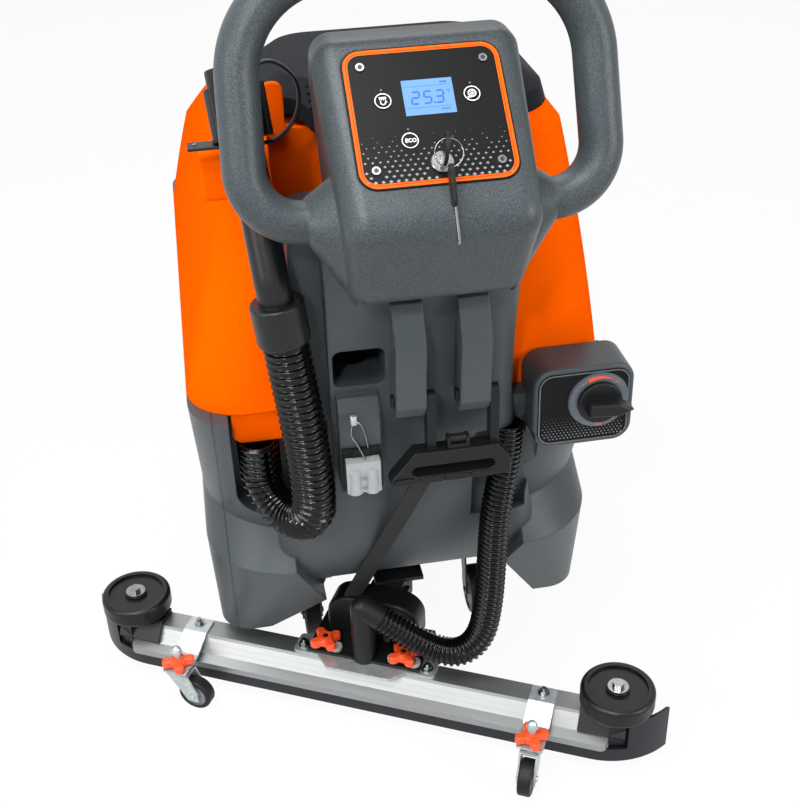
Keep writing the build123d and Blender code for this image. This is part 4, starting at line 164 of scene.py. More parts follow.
def addNode(tree, kind, **values):
    node = tree.nodes.new(kind)
    for key, value in values.items():
        if hasattr(node, key):
            setattr(node, key, value)
        else:
            node.inputs[key].default_value = value
    return node


def newMaterial(name):
    material = bpy.data.materials.new(name)
    material.use_nodes = True
    return material, material.node_tree, material.node_tree.nodes["Principled BSDF"]


def objectPlaces(tree):
    return addNode(tree, "ShaderNodeTexCoord").outputs["Object"]


def grainNoise(tree, coordinates, size, detail):
    noise = addNode(tree, "ShaderNodeTexNoise", Scale=1000 / size, Detail=detail)
    tree.links.new(coordinates, noise.inputs["Vector"])
    return noise.outputs["Fac"]


def toneRamp(tree, value, places, colours):
    ramp = addNode(tree, "ShaderNodeValToRGB")
    for element, place, colour in zip(ramp.color_ramp.elements, places, colours):
        element.position, element.color = place, colour
    tree.links.new(value, ramp.inputs["Fac"])
    return ramp.outputs["Color"]


def mapTo(tree, value, low, high):
    spread = addNode(tree, "ShaderNodeMapRange", **{"To Min": low, "To Max": high})
    tree.links.new(value, spread.inputs["Value"])
    return spread.outputs["Result"]


def makeFinish(name, look):
    material, tree, shader = newMaterial(name)
    coordinates = objectPlaces(tree)
    fleck = grainNoise(tree, coordinates, look["fleckSize"], grain["fleckDetail"])
    share = look.get("fleckShare", 0.5)
    colour = toneRamp(tree, fleck, (share - grain["fleckBelow"], share + grain["fleckAbove"]),
                      (tone(*look["colour"]), tone(*look["fleck"])))
    tree.links.new(colour, shader.inputs["Base Color"])
    patches = grainNoise(tree, coordinates, grain["patch"] * look["bumpSize"], grain["patchDetail"])
    rough, half = look["rough"], look["roughSpread"] / 2
    tree.links.new(mapTo(tree, patches, rough - half, rough + half), shader.inputs["Roughness"])
    shader.inputs["Metallic"].default_value = look.get("metal", 0.0)
    shader.inputs["Specular IOR Level"].default_value = look.get("gloss", 0.5)
    normal = None
    if look["edge"]:
        softEdge = addNode(tree, "ShaderNodeBevel", samples=grain["bevelSamples"], Radius=look["edge"] / 1000)
        normal = softEdge.outputs["Normal"]
    if look["bump"]:
        bump = addNode(tree, "ShaderNodeBump", Strength=grain["bumpStrength"], Distance=look["bump"] / 1000)
        dents = grainNoise(tree, coordinates, look["bumpSize"], grain["bumpDetail"])
        tree.links.new(dents, bump.inputs["Height"])
        if normal:
            tree.links.new(normal, bump.inputs["Normal"])
        normal = bump.outputs["Normal"]
    if normal:
        tree.links.new(normal, shader.inputs["Normal"])
    if look.get("glow"):
        tree.links.new(colour, shader.inputs["Emission Color"])
        shader.inputs["Emission Strength"].default_value = look["glow"]
    return material


# brushed along the squeegee's beam
def brushedMetal(name, setup):
    material, tree, shader = newMaterial(name)
    mapping = addNode(tree, "ShaderNodeMapping", vector_type="TEXTURE", Scale=setup["streak"],
                      Rotation=(0, 0, math.radians(drawing["swingYaw"])))
    tree.links.new(objectPlaces(tree), mapping.inputs["Vector"])
    lines = grainNoise(tree, mapping.outputs["Vector"], 1.0, setup["streakDetail"])
    light = tone(*setup["colour"])
    dark = [value * setup["dark"] for value in light[:3]] + [1.0]
    tree.links.new(toneRamp(tree, lines, setup["band"], (dark, light)), shader.inputs["Base Color"])
    rough, half = setup["rough"], setup["roughHalf"]
    tree.links.new(mapTo(tree, lines, rough - half, rough + half), shader.inputs["Roughness"])
    shader.inputs["Metallic"].default_value = 1.0
    bump = addNode(tree, "ShaderNodeBump", Strength=setup["strength"], Distance=setup["depth"] / 1000)
    tree.links.new(lines, bump.inputs["Height"])
    tree.links.new(bump.outputs["Normal"], shader.inputs["Normal"])
    return material


finishes = {name: makeFinish(name, look) for name, look in looks.items()}
finishes["aluminium"] = brushedMetal("aluminium", brushedSetup)
print("finishes made:", len(finishes))

finishNodes = {
    "greyShell": ("lower_body", "console"), "orangeShell": ("recovery_tank",), "lidPlastic": ("tank_lid",),
    "panelFilm": ("control_panel", "valve_panel", "brush_button", "suction_button", "eco_button"),
    "screenBlue": ("display",), "keyBlack": ("key", "spare_key"), "tubeBlack": ("drain_tube",),
    "blackPlastic": ("valve_knob", "lever", "connector_bracket", "drain_cap", "vacuum_motor", "pad_driver",
                     "squeegee_arm", "spigot", "roller_brackets"),
    "hoseBlack": ("drain_hose", "suction_hose_lower", "suction_hose_upper"), "webbing": ("lift_strap",),
    "connectorGrey": ("battery_connector",), "batteryCase": ("batteries",), "padRed": ("floor_pad",),
    "blackSteel": ("chassis_frame", "gear_motor", "scrub_deck", "deck_motor", "swing_bracket"),
    "stainless": ("panel_screws", "key_bezel", "lanyard", "squeegee_bolts"), "aluminium": ("squeegee_beam",),
    "zincSteel": ("mount_plate", "caster_brackets"), "bladeRubber": ("squeegee_blades",),
    "clearRubber": ("knob_standoffs",),
}
pairNodes = {"tyreBlack": ("drive_wheel", "rear_wheel", "caster_wheel"), "rollerBlack": ("roller",),
             "blackSteel": ("rear_fork",), "zincSteel": ("caster_fork",),
             "knobOrange": ("clamp_knob", "caster_knob")}


def dressNode(nodeName, material):
    slots = frame["nodes"][nodeName].data.materials
    slots.clear()
    slots.append(material)


dressed = [(node, finish) for finish, nodes in finishNodes.items() for node in nodes]
dressed += [(f"{side}_{node}", finish) for finish, nodes in pairNodes.items() for node in nodes
            for side in ("left", "right")]
for nodeName, finishName in dressed:
    dressNode(nodeName, finishes[finishName])
print("nodes dressed:", len(dressed), "of", len(frame["nodes"]))


def makePiece(name, vertices, faces, finish, smooth=True):
    mesh = bpy.data.meshes.new(name)
    mesh.from_pydata([tuple(v) for v in vertices], [], faces)
    mesh.update()
    work = bmesh.new()
    work.from_mesh(mesh)
    bmesh.ops.recalc_face_normals(work, faces=work.faces)
    work.to_mesh(mesh)
    work.free()
    for polygon in mesh.polygons:
        polygon.use_smooth = smooth
    piece = bpy.data.objects.new(name, mesh)
    bpy.context.scene.collection.objects.link(piece)
    mesh.materials.append(finishes[finish])
    return piece


def soften(piece, size, segments):
    bevel = piece.modifiers.new("softEdges", "BEVEL")
    bevel.width = size / 1000
    bevel.segments = segments
    bevel.limit_method = "ANGLE"
    bevel.angle_limit = math.radians(40)
    bevel.harden_normals = False


# tubes: a line through a route's points, rings along it, then faces between the rings
lineSetup = {"resolution": 32, "order": 3, "shortest": 1e-9}


def routeLine(name, route):
    curve = bpy.data.curves.new(name, "CURVE")
    curve.dimensions = "3D"
    curve.resolution_u = lineSetup["resolution"]
    spline = curve.splines.new("NURBS")
    spline.points.add(len(route) - 1)
    for point, place in zip(spline.points, route):
        point.co = (*spot(*place), 1.0)
    spline.order_u = lineSetup["order"]
    spline.use_endpoint_u = True
    holder = bpy.data.objects.new(name, curve)
    bpy.context.scene.collection.objects.link(holder)
    line = bpy.data.meshes.new_from_object(holder)
    points = [vertex.co.copy() for vertex in line.vertices]
    bpy.data.objects.remove(holder)
    bpy.data.curves.remove(curve)
    bpy.data.meshes.remove(line)
    return points


def walkLine(points, step):
    lengths = [0.0]
    for before, after in zip(points, points[1:]):
        lengths.append(lengths[-1] + (after - before).length)
    count = max(2, round(lengths[-1] / step))
    places = []
    index = 0
    for i in range(count + 1):
        along = lengths[-1] * i / count
        while index < len(points) - 2 and lengths[index + 1] < along:
            index += 1
        share = (along - lengths[index]) / max(lengths[index + 1] - lengths[index], lineSetup["shortest"])
        places.append(points[index].lerp(points[index + 1], min(share, 1.0)))
    return places, lengths[-1]


def lineFrames(places, firstSide):
    frames = []
    side = Vector(firstSide)
    for i, place in enumerate(places):
        before = places[max(i - 1, 0)]
        after = places[min(i + 1, len(places) - 1)]
        ahead = (after - before).normalized()
        side = (side - ahead * side.dot(ahead)).normalized()
        frames.append((place, side, ahead.cross(side)))
    return frames


def ringPoints(frames, around, radiusAt):
    points = []
    for i, (place, side, across) in enumerate(frames):
        for j in range(around):
            turn = 2 * math.pi * j / around
            points.append(place + (side * math.cos(turn) + across * math.sin(turn)) * radiusAt(i, turn))
    return points


def ringFaces(rings, around, first=0):
    faces = []
    for i in range(rings - 1):
        a, b = first + i * around, first + (i + 1) * around
        for j in range(around):
            k = (j + 1) % around
            faces.append((a + j, a + k, b + k, b + j))
    return faces


def endFaces(rings, around):
    last = (rings - 1) * around
    return [tuple(range(around - 1, -1, -1)), tuple(range(last, last + around))]


def tubePiece(name, points, radiusAt, around, firstSide, finish, slot, body):
    frames = lineFrames(points, firstSide)
    faces = ringFaces(len(frames), around) + endFaces(len(frames), around)
    piece = makePiece(name, ringPoints(frames, around, radiusAt), faces, finish)
    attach(piece, body)
    return piece


# hoses: each follows its own route, with one rib running round it like a screw thread
drainHose = {"route": [(-146, 48, 642), (-140, 46, 590), (-133, 43.5, 525), (-128, 43, 460),
                       (-127, 44, 403.5), (-138.5, 59, 378), (-156.5, 83, 368), (-174.5, 107, 378),
                       (-186, 122, 403.5), (-186.5, 124, 432), (-186.5, 124, 462)],
             "outer": 54.0, "rib": 4.4, "pitch": 9.5, "crest": 0.13, "wall": 2.6, "around": 48}
suctionHose = {"route": [(-16.60, 83.55, 144.55), (11.57, 68.82, 127.65), (52, 43, 127), (83, 41, 155),
                         (94.5, 48, 212), (100, 58, 275), (106, 69, 340), (120, 82, 402), (126, 88, 436),
                         (126, 88, 468)],
               "foot": [(-44.77, 98.28, 161.45), (-16.60, 83.55, 144.55)], "bendEnd": (97, 40, 230),
               "outer": 40.0, "rib": 3.0, "pitch": 6.8, "crest": 0.18, "wall": 2.0, "around": 44}
hoseMesh = {"perRib": 12, "firstSide": (0.31, 0.72, 0.62), "boreStep": 6}


def ribbedTube(name, setup, points, startAlong=0.0):
    places, length = walkLine(points, setup["pitch"] / 1000 / hoseMesh["perRib"])
    frames = lineFrames(places, hoseMesh["firstSide"])
    rings, around = len(frames), setup["around"]
    outer = setup["outer"] / 2000
    low = outer - setup["rib"] / 1000
    bore = low - setup["wall"] / 1000

    def ribRadius(i, turn):
        along = startAlong + length * 1000 * i / (rings - 1)
        off = abs((along / setup["pitch"] + turn / (2 * math.pi)) % 1.0 - 0.5)
        return low + (outer - low) * math.exp(-((off / setup["crest"]) ** 2))

    boreFrames = frames[::hoseMesh["boreStep"]]  # the plain inside needs fewer rings
    if (rings - 1) % hoseMesh["boreStep"]:
        boreFrames.append(frames[-1])
    inside = rings * around
    vertices = ringPoints(frames, around, ribRadius) + ringPoints(boreFrames, around, lambda i, turn: bore)
    faces = ringFaces(rings, around) + ringFaces(len(boreFrames), around, inside)
    lastOut, lastIn = inside - around, inside + (len(boreFrames) - 1) * around
    for j in range(around):
        k = (j + 1) % around
        faces.append((j, inside + j, inside + k, k))
        faces.append((lastOut + j, lastOut + k, lastIn + k, lastIn + j))
    return makePiece(name, vertices, faces, "hoseBlack"), length


drainLine = routeLine("drainRoute", drainHose["route"])
drainPiece, drainLength = ribbedTube("drainHoseTube", drainHose, drainLine)
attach(drainPiece, "base")
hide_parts("drain_hose")
suctionLine = routeLine("suctionRoute", suctionHose["route"])
footLine = [spot(*place) for place in suctionHose["foot"]]
footPiece, footLength = ribbedTube("suctionHoseFoot", suctionHose, footLine)
suctionPiece, suctionLength = ribbedTube("suctionHoseTube", suctionHose, suctionLine, footLength * 1000)
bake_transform(suctionPiece)
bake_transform(footPiece)
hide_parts("suction_hose_upper")
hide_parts("suction_hose_lower")
print("hoses laid:", round(drainLength, 3), round(suctionLength, 3))


# flat print and small raised pieces: outlines in millimetres on a face, made as thin closed prisms
def circleOutline(x, y, radius, count=36):
    turns = [2 * math.pi * i / count for i in range(count)]
    return [(x + radius * math.cos(turn), y + radius * math.sin(turn)) for turn in turns]


def roundedOutline(x, y, halfWide, halfTall, corner, perCorner=8):
    points = []
    for sideX, sideY, start in ((1, 1, 0), (-1, 1, 90), (-1, -1, 180), (1, -1, 270)):
        for i in range(perCorner + 1):
            turn = math.radians(start + 90 * i / perCorner)
            points.append((x + sideX * (halfWide - corner) + corner * math.cos(turn),
                           y + sideY * (halfTall - corner) + corner * math.sin(turn)))
    return points


def barOutline(x, y, wide, tall, lean=0.0):
    corners = ((-1, -1), (1, -1), (1, 1), (-1, 1))
    return [(x + cx * wide / 2 + lean * cy * tall / 2, y + cy * tall / 2) for cx, cy in corners]


def arcOutline(x, y, inner, outer, start, end, count=20):
    turns = [math.radians(start + (end - start) * i / count) for i in range(count + 1)]
    points = [(x + outer * math.cos(turn), y + outer * math.sin(turn)) for turn in turns]
    return points + [(x + inner * math.cos(turn), y + inner * math.sin(turn)) for turn in reversed(turns)]


# each shape is an outline with its hole, or with None
def markShapes(mark, x, y):
    shapes = [(barOutline(x + a, y + b, *size), None) for a, b, *size in mark.get("bars", ())]
    shapes += [(arcOutline(x + a, y + b, *size), None) for a, b, *size in mark.get("arcs", ())]
    shapes += [(circleOutline(x + a, y + b, radius), None) for a, b, radius in mark.get("discs", ())]
    shapes += [(circleOutline(x + a, y + b, outer), circleOutline(x + a, y + b, inner))
               for a, b, inner, outer in mark.get("rings", ())]
    shapes += [([(x + a, y + b) for a, b in corners], None) for corners in mark.get("corners", ())]
    return shapes


def prismPiece(name, shapes, place, low, high, finish, slot, body, smooth=False):
    vertices, faces = [], []
    for outer, inner in shapes:
        count = len(outer)
        base = len(vertices)
        for outline in (outer, inner or []):
            for rise in (low, high):
                vertices += [place(x, y, rise) for x, y in outline]
        faces += ringFaces(2, count, base)
        if inner is None:
            faces.append(tuple(range(base, base + count)))
            faces.append(tuple(range(base + count, base + 2 * count)))
            continue
        hole = base + 2 * count
        faces += ringFaces(2, count, hole)
        for i in range(count):
            k = (i + 1) % count
            faces.append((base + i, hole + i, hole + k, base + k))
            faces.append((base + count + i, base + count + k, hole + count + k, hole + count + i))
    piece = makePiece(name, vertices, faces, finish, smooth)
    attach(piece, body)
    return piece


# control panel print
panelPrint = {"face": 1.5, "film": 0.15, "border": (80.6, 76.6, 18.6), "borderWide": 2.7, "line": 0.6,
              "innerLine": 1.5, "dotPitch": 7.6, "dotRow": 5.4, "dotRows": 10, "dotSize": 2.1,
              "dotFoot": -70.0, "dotSide": 73.0, "dotFade": 0.7, "dotFlat": 0.8, "dotKept": 0.45, "seed": 11,
              "clear": ((3.0, -55.0, 15.5), (-63.3, -57.6, 7.5), (63.3, -57.6, 7.5), (-25.0, -28.0, 12.0)),
              "buttons": {"brush_button": (-45.5, 18.0), "suction_button": (45.5, 18.0),
                          "eco_button": (-25.0, -28.0)},
              "buttonTop": 2.7, "ring": (7.5, 8.5), "ledRise": 13.0, "ledRadius": 0.8}
buttonMarks = {
    "brush_button": {"bars": [(0, 3.4, 7.6, 1.8)] + [(x, 1.5, 0.9, 1.5) for x in (-2.8, -1.0, 0.8, 2.6)],
                     "arcs": [(0, -1.6, 2.0, 3.1, 150, 350)],
                     "corners": [[(1.5, -1.9), (4.4, -1.9), (3.0, 0.3)]]},
    "suction_button": {"rings": [(0, 0.4, 3.4, 4.4)], "discs": [(0, 0.4, 1.1)],
                       "arcs": [(0, 0.4, 1.7, 2.8, turn, turn + 32, 6) for turn in range(0, 360, 60)],
                       "bars": [(-3.1, -3.9, 4.2, 1.2)]},
    "eco_button": {"bars": [(-4.5, 0, 0.9, 4.4)] + [(-3.1, y, 2.0, 0.85) for y in (-1.75, 0.0, 1.75)],
                   "arcs": [(0.3, 0, 1.3, 2.2, 45, 315)], "rings": [(4.2, 0, 1.3, 2.2)]},
}


def borderShapes(setup):
    halfWide, halfTall, corner = setup["border"]
    shapes = []
    inset = 0.0
    for wide in (setup["borderWide"], setup["innerLine"]):
        outer = roundedOutline(0, 0, halfWide - inset, halfTall - inset, corner - inset)
        inset += wide
        shapes.append((outer, roundedOutline(0, 0, halfWide - inset, halfTall - inset, corner - inset)))
        inset += setup["line"]
    return shapes


# rows of diamonds that shrink and thin out upwards
def diamondShapes(setup):
    random.seed(setup["seed"])
    shapes = []
    side, pitch = setup["dotSide"], setup["dotPitch"]
    for row in range(setup["dotRows"]):
        up = setup["dotFoot"] + row * setup["dotRow"]
        share = 1 - row / setup["dotRows"]
        half = setup["dotSize"] * share ** setup["dotFade"]
        tall = half * setup["dotFlat"]
        for column in range(int(2 * side / pitch) + 1):
            across = -side + (column + 0.5 * (row % 2)) * pitch
            lost = random.random() > setup["dotKept"] + share
            near = any(math.hypot(across - x, up - y) < room for x, y, room in setup["clear"])
            if lost or near or across > side:
                continue
            shapes.append(([(across - half, up), (across, up - tall), (across + half, up),
                            (across, up + tall)], None))
    return shapes


def printPanel(setup):
    low, high = setup["face"], setup["face"] + setup["film"]
    prismPiece("panelBorder", borderShapes(setup), panelSpot, low, high, "borderOrange", "panel_film", "base")
    prismPiece("panelDiamonds", diamondShapes(setup), panelSpot, low, high, "printGrey", "panel_film", "base")
    top = setup["buttonTop"]
    leds = []
    for word, (x, y) in setup["buttons"].items():
        shapes = markShapes({"rings": [(0, 0, *setup["ring"])]}, x, y) + markShapes(buttonMarks[word], x, y)
        prismPiece(f"{word}Mark", shapes, panelSpot, top, top + setup["film"], "printWhite", "button_cap",
                   word)
        leds.append((circleOutline(x, y + setup["ledRise"], setup["ledRadius"], count=16), None))
    prismPiece("panelLights", leds, panelSpot, low, high, "printGrey", "panel_film", "base")


# display: leaning digits of seven bars, a point, unit marks, small bars and two rules
screenPrint = {"face": 1.1, "film": 0.12, "middle": (1.5, 19.5), "digits": "253", "digitWide": 9.0,
               "digitTall": 15.0, "stroke": 1.7, "step": 12.4, "first": (-13.6, -0.6), "lean": 0.1,
               "flatGap": 1.6, "uprightGap": 1.3,
               "bars": [(5.248, -7.2, 1.8, 1.8), (20.2, 5.2, 0.7, 3.6, -0.35), (21.6, 5.2, 0.7, 3.6, 0.35)]
               + [(14.0 + 1.9 * i, 15.6, 1.4, 2.2) for i in range(4)]
               + [(12.0 + 2.4 * i, -14.8, 1.5, 1.8) for i in range(4)]
               + [(0, y, 47.0, 0.35) for y in (12.4, -11.8)]}
segmentPlaces = {"a": (0, 1, True), "g": (0, 0, True), "d": (0, -1, True), "f": (-1, 0.5, False),
                 "b": (1, 0.5, False), "e": (-1, -0.5, False), "c": (1, -0.5, False)}
digitSegments = {"2": "abged", "5": "afgcd", "3": "abgcd"}


def digitBars(setup, digit):
    wide, tall, stroke, lean = [setup[key] for key in ("digitWide", "digitTall", "stroke", "lean")]
    flat = (wide - setup["flatGap"] * stroke, stroke)
    upright = (stroke, tall / 2 - setup["uprightGap"] * stroke)
    bars = []
    for word in digitSegments[digit]:
        sideX, sideY, isFlat = segmentPlaces[word]
        x = sideX * (wide - stroke) / 2 + lean * sideY * tall / 2
        bars.append((x, sideY * (tall - stroke) / 2, *(flat if isFlat else upright), lean))
    return bars


def printScreen(setup):
    x, y = setup["middle"]
    firstX, firstY = setup["first"]
    shapes = markShapes(setup, x, y)
    for i, digit in enumerate(setup["digits"]):
        shapes += markShapes({"bars": digitBars(setup, digit)}, x + firstX + i * setup["step"], y + firstY)
    prismPiece("screenDigits", shapes, panelSpot, setup["face"], setup["face"] + setup["film"], "digitBlue",
               "display_glass", "base")


printPanel(panelPrint)
printScreen(screenPrint)
print("panel printed")

# keys: the lock's face, and a spare hanging edge-on from a split ring
keySetup = {"place": (3.0, -55.0), "turn": -10.0, "face": 5.5, "faceThick": 0.35, "barrel": 7.9,
            "slit": (1.5, 4.3, 0.6), "holeOut": 9.0, "holeRise": 38.5, "lean": -31.0, "slack": 1.7,
            "ringRadius": 14.0, "coils": 2, "coilSteps": 120, "coilGap": 1.3, "wire": 0.62,
            "bow": (3.6, 20.0, 42.0), "bowCorner": 8.0, "bowFoot": -66.7, "bowSoft": 0.7, "hole": -29.7,
            "holeRadius": 3.5, "blade": (2.2, 8.0, 36.0), "bladeIn": 3.0, "bladeTip": 4.0, "bladeSoft": 0.25,
            "teeth": [(1.6, 3), (2.9, 6), (1.2, 10), (2.6, 14), (0.9, 18), (2.4, 22), (1.4, 26), (4.0, 30)]}


def turnedKeySpot(across, up, rise):
    turn = math.radians(keySetup["turn"])
    x, y = keySetup["place"]
    return panelSpot(x + across * math.cos(turn) - up * math.sin(turn),
                     y + across * math.sin(turn) + up * math.cos(turn), rise)


def hangingSpot(y, z, x):
    hole = turnedKeySpot(0, keySetup["holeOut"], keySetup["holeRise"])
    lean = Matrix.Rotation(math.radians(keySetup["lean"]), 3, "X")
    return hole + lean @ Vector((x, y, z - keySetup["slack"])) / 1000


def hangKeys(setup):
    face = [(circleOutline(0, 0, setup["barrel"]), roundedOutline(0, 0, *setup["slit"]))]
    prismPiece("lockFace", face, turnedKeySpot, setup["face"], setup["face"] + setup["faceThick"],
               "stainless", "key_metal", "key")
    coils = []
    radius, steps = setup["ringRadius"], setup["coilSteps"]
    for i in range(steps + 1):
        turn = 2 * math.pi * setup["coils"] * i / steps
        lift = setup["coilGap"] * (i / steps - 0.5)
        coils.append(hangingSpot(lift, -radius + radius * math.cos(turn), radius * math.sin(turn)))
    tubePiece("splitRing", coils, lambda i, turn: setup["wire"] / 1000, 12, (0.3, 0.5, 0.8), "stainless",
              "key_metal", "spare_key")
    thick, wide, tall = setup["bow"]
    foot = setup["bowFoot"]
    outer = roundedOutline(0, foot + tall / 2, wide / 2, tall / 2, setup["bowCorner"])
    hole = circleOutline(0, setup["hole"], setup["holeRadius"])
    bow = prismPiece("spareBow", [(outer, hole)], hangingSpot, -thick / 2, thick / 2, "keyBlack", "key_black",
                     "spare_key")
    soften(bow, setup["bowSoft"], 2)
    thick, wide, tall = setup["blade"]
    half, root, tip = wide / 2, foot + setup["bladeIn"], foot - tall
    edge = [(half, root), (-half, root), (-half, tip + setup["bladeTip"]), (0, tip)]
    edge += [(y, tip + rise) for y, rise in setup["teeth"]]
    blade = prismPiece("spareBlade", [(edge, None)], hangingSpot, -thick / 2, thick / 2, "stainless",
                       "key_metal", "spare_key")
    soften(blade, setup["bladeSoft"], 1)
    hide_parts("spare_key")


hangKeys(keySetup)
print("keys hung")

# steel lanyard of the battery connector, twisted from six strands
lanyardSetup = {"route": [(-63, 38, 472.4), (-70, 37, 494), (-80, 38, 510), (-74, 42, 528), (-62, 43, 518),
                          (-58, 44.5, 484.6)],
                "diameter": 2.2, "strands": 6, "groove": 0.1, "twist": 9.0, "step": 0.8,
                "sleeveAt": (-74, 42, 528), "sleeve": (4.2, 3.0, 2.4), "sleeveTall": 12.0, "sleeveSoft": 0.5}


def layLanyard(setup):
    line = routeLine("lanyardRoute", setup["route"])
    places, length = walkLine(line, setup["step"] / 1000)
    radius, groove = setup["diameter"] / 2000, setup["groove"]

    def strand(i, turn):
        twist = 2 * math.pi * i * setup["step"] / setup["twist"]
        return radius * (1 - groove + groove * math.cos(setup["strands"] * (turn + twist)))

    def sleeveSpot(across, ahead, rise):
        x, y, z = setup["sleeveAt"]
        return spot(x + across, y + ahead, z + rise)

    cable = tubePiece("lanyardCable", places, strand, 30, (0.2, 0.9, 0.1), "stainless", "wire", "base")
    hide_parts("lanyard")
    half = setup["sleeveTall"] / 2
    sleeve = prismPiece("lanyardSleeve", [(roundedOutline(0, 0, *setup["sleeve"]), None)], sleeveSpot, -half,
                        half, "zincSteel", "wire", "base", True)
    soften(sleeve, setup["sleeveSoft"], 2)


layLanyard(lanyardSetup)
print("lanyard laid")

# lift strap: webbing from the lever to the squeegee's hood, in three runs
strapSetup = {"top": (6.0, 33.0, 436.5), "foot": (-76.0, 158.0, 158.5), "wide": 25.0, "thick": 2.4,
              "steps": 24, "flat": 0.94, "selvedge": 0.35, "hemFrom": 0.70, "hemThick": 2.0,
              "parts": ((0.0, 0.3, "lever", "base"), (0.3, 0.86, "base", "swing"),
                        (0.86, 1.0, "swing", "squeegee"))}


def webbingRun(name, setup, start, end, lift, thick):
    top, foot = spot(*setup["top"]), spot(*setup["foot"])
    down = (foot - top).normalized()
    across = (Vector((1, 0, 0)) - down * down.x).normalized()
    out = across.cross(down)
    half, flat, thin = setup["wide"] / 2000, setup["flat"], setup["selvedge"]
    section = [(-1, thin), (-flat, 0.5), (flat, 0.5), (1, thin), (1, -thin), (flat, -0.5), (-flat, -0.5),
               (-1, -thin)]
    vertices = []
    for i in range(setup["steps"] + 1):
        middle = top.lerp(foot, start + (end - start) * i / setup["steps"])
        for side, rise in section:
            vertices.append(middle + across * side * half + out * (rise * thick + lift) / 1000)
    rings, around = setup["steps"] + 1, len(section)
    faces = ringFaces(rings, around) + endFaces(rings, around)
    return makePiece(name, vertices, faces, "webbing", False)


def layStrap(setup):
    hemLift = (setup["thick"] + setup["hemThick"]) / 2
    for i, (low, high, upper, lower) in enumerate(setup["parts"]):
        run = webbingRun(f"strapRun{i + 1}", setup, low, high, 0.0, setup["thick"])
        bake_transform(run)
        if i == 0:
            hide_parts("lift_strap")
        hemLow = max(low, setup["hemFrom"])
        if hemLow < high:
            hem = webbingRun(f"strapHem{i + 1}", setup, hemLow, high, hemLift, setup["hemThick"])
            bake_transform(hem)


layStrap(strapSetup)
print("strap laid")


# two finishes on one node, split by a plane, by a band or by the distance from an axle
def vectorStep(tree, operation, vector, other=None):
    step = addNode(tree, "ShaderNodeVectorMath", operation=operation)
    tree.links.new(vector, step.inputs[0])
    if other is not None:
        step.inputs[1].default_value = other
    return step.outputs


def testValue(tree, operation, value, *limits):
    test = addNode(tree, "ShaderNodeMath", operation=operation)
    tree.links.new(value, test.inputs[0])
    for socket, limit in zip(test.inputs[1:], limits):
        socket.default_value = limit
    return test.outputs["Value"]


def planeMask(tree, coordinates, setup):
    along = vectorStep(tree, "DOT_PRODUCT", coordinates, setup["direction"])["Value"]
    return testValue(tree, "GREATER_THAN", along, setup["level"])


def bandMask(tree, coordinates, setup):
    along = vectorStep(tree, "DOT_PRODUCT", coordinates, setup["direction"])["Value"]
    return testValue(tree, "COMPARE", along, setup["level"], setup["half"])


def axleMask(tree, coordinates, setup):
    offset = vectorStep(tree, "SUBTRACT", coordinates, setup["centre"])["Vector"]
    swept = vectorStep(tree, "CROSS_PRODUCT", offset, setup["axis"])["Vector"]
    away = vectorStep(tree, "LENGTH", swept)["Value"]
    return testValue(tree, "GREATER_THAN", away, setup["radius"])


def splitFinish(name, inner, outer, makeMask, setup):
    material = makeFinish(name, outer)
    tree = material.node_tree
    shader = tree.nodes["Principled BSDF"]
    coordinates = objectPlaces(tree)
    mask = makeMask(tree, coordinates, setup)
    outerTone = shader.inputs["Base Color"].links[0].from_socket
    fleck = grainNoise(tree, coordinates, inner["fleckSize"], grain["fleckDetail"])
    innerTone = toneRamp(tree, fleck, (0.0, 1.0), (tone(*inner["colour"]), tone(*inner["fleck"])))
    mix = addNode(tree, "ShaderNodeMix", data_type="RGBA")
    for socket, source in ((0, mask), (6, innerTone), (7, outerTone)):  # the node's factor and two colours
        tree.links.new(source, mix.inputs[socket])
    tree.links.new(mix.outputs[2], shader.inputs["Base Color"])
    rough = addNode(tree, "ShaderNodeMath", operation="ADD")
    tree.links.new(shader.inputs["Roughness"].links[0].from_socket, rough.inputs[0])
    tree.links.new(mapTo(tree, mask, inner["rough"] - outer["rough"], 0.0), rough.inputs[1])
    tree.links.new(rough.outputs["Value"], shader.inputs["Roughness"])
    metals = (inner.get("metal", 0.0), outer.get("metal", 0.0))
    if metals[0] != metals[1]:
        tree.links.new(mapTo(tree, mask, *metals), shader.inputs["Metallic"])
    return material


# wheels with grey hubs, and a key with a steel shank below its black bow
hubLook = dict(colour=(112, 116, 120), fleck=(130, 134, 138), fleckSize=1.4, rough=0.45, roughSpread=0.1,
               bump=0.04, bumpSize=1.2, edge=0.6)
splitSetup = {"hubs": {"drive_wheel": 74.0, "rear_wheel": 30.5, "caster_wheel": 18.0}, "shankTop": 15.0}


def splitWheels(setup):
    joints = {joint["child"]: joint for joint in frame["joints"]}
    for sideWord in ("left", "right"):
        for pieceWord, radius in setup["hubs"].items():
            wheel = f"{sideWord}_{pieceWord}"
            split = {"centre": joints[wheel]["pos_m"], "axis": joints[wheel]["axis"], "radius": radius / 1000}
            dressNode(wheel, splitFinish(f"{wheel}Finish", hubLook, looks["tyreBlack"], axleMask, split))


def splitKey(setup):
    up = (panelSpot(0, 0, 1) - panelSpot(0, 0, 0)).normalized()
    split = {"direction": up, "level": up.dot(panelSpot(0, 0, setup["shankTop"]))}
    dressNode("key", splitFinish("keyFinish", looks["stainless"], looks["keyBlack"], planeMask, split))


splitWheels(splitSetup)
splitKey(splitSetup)
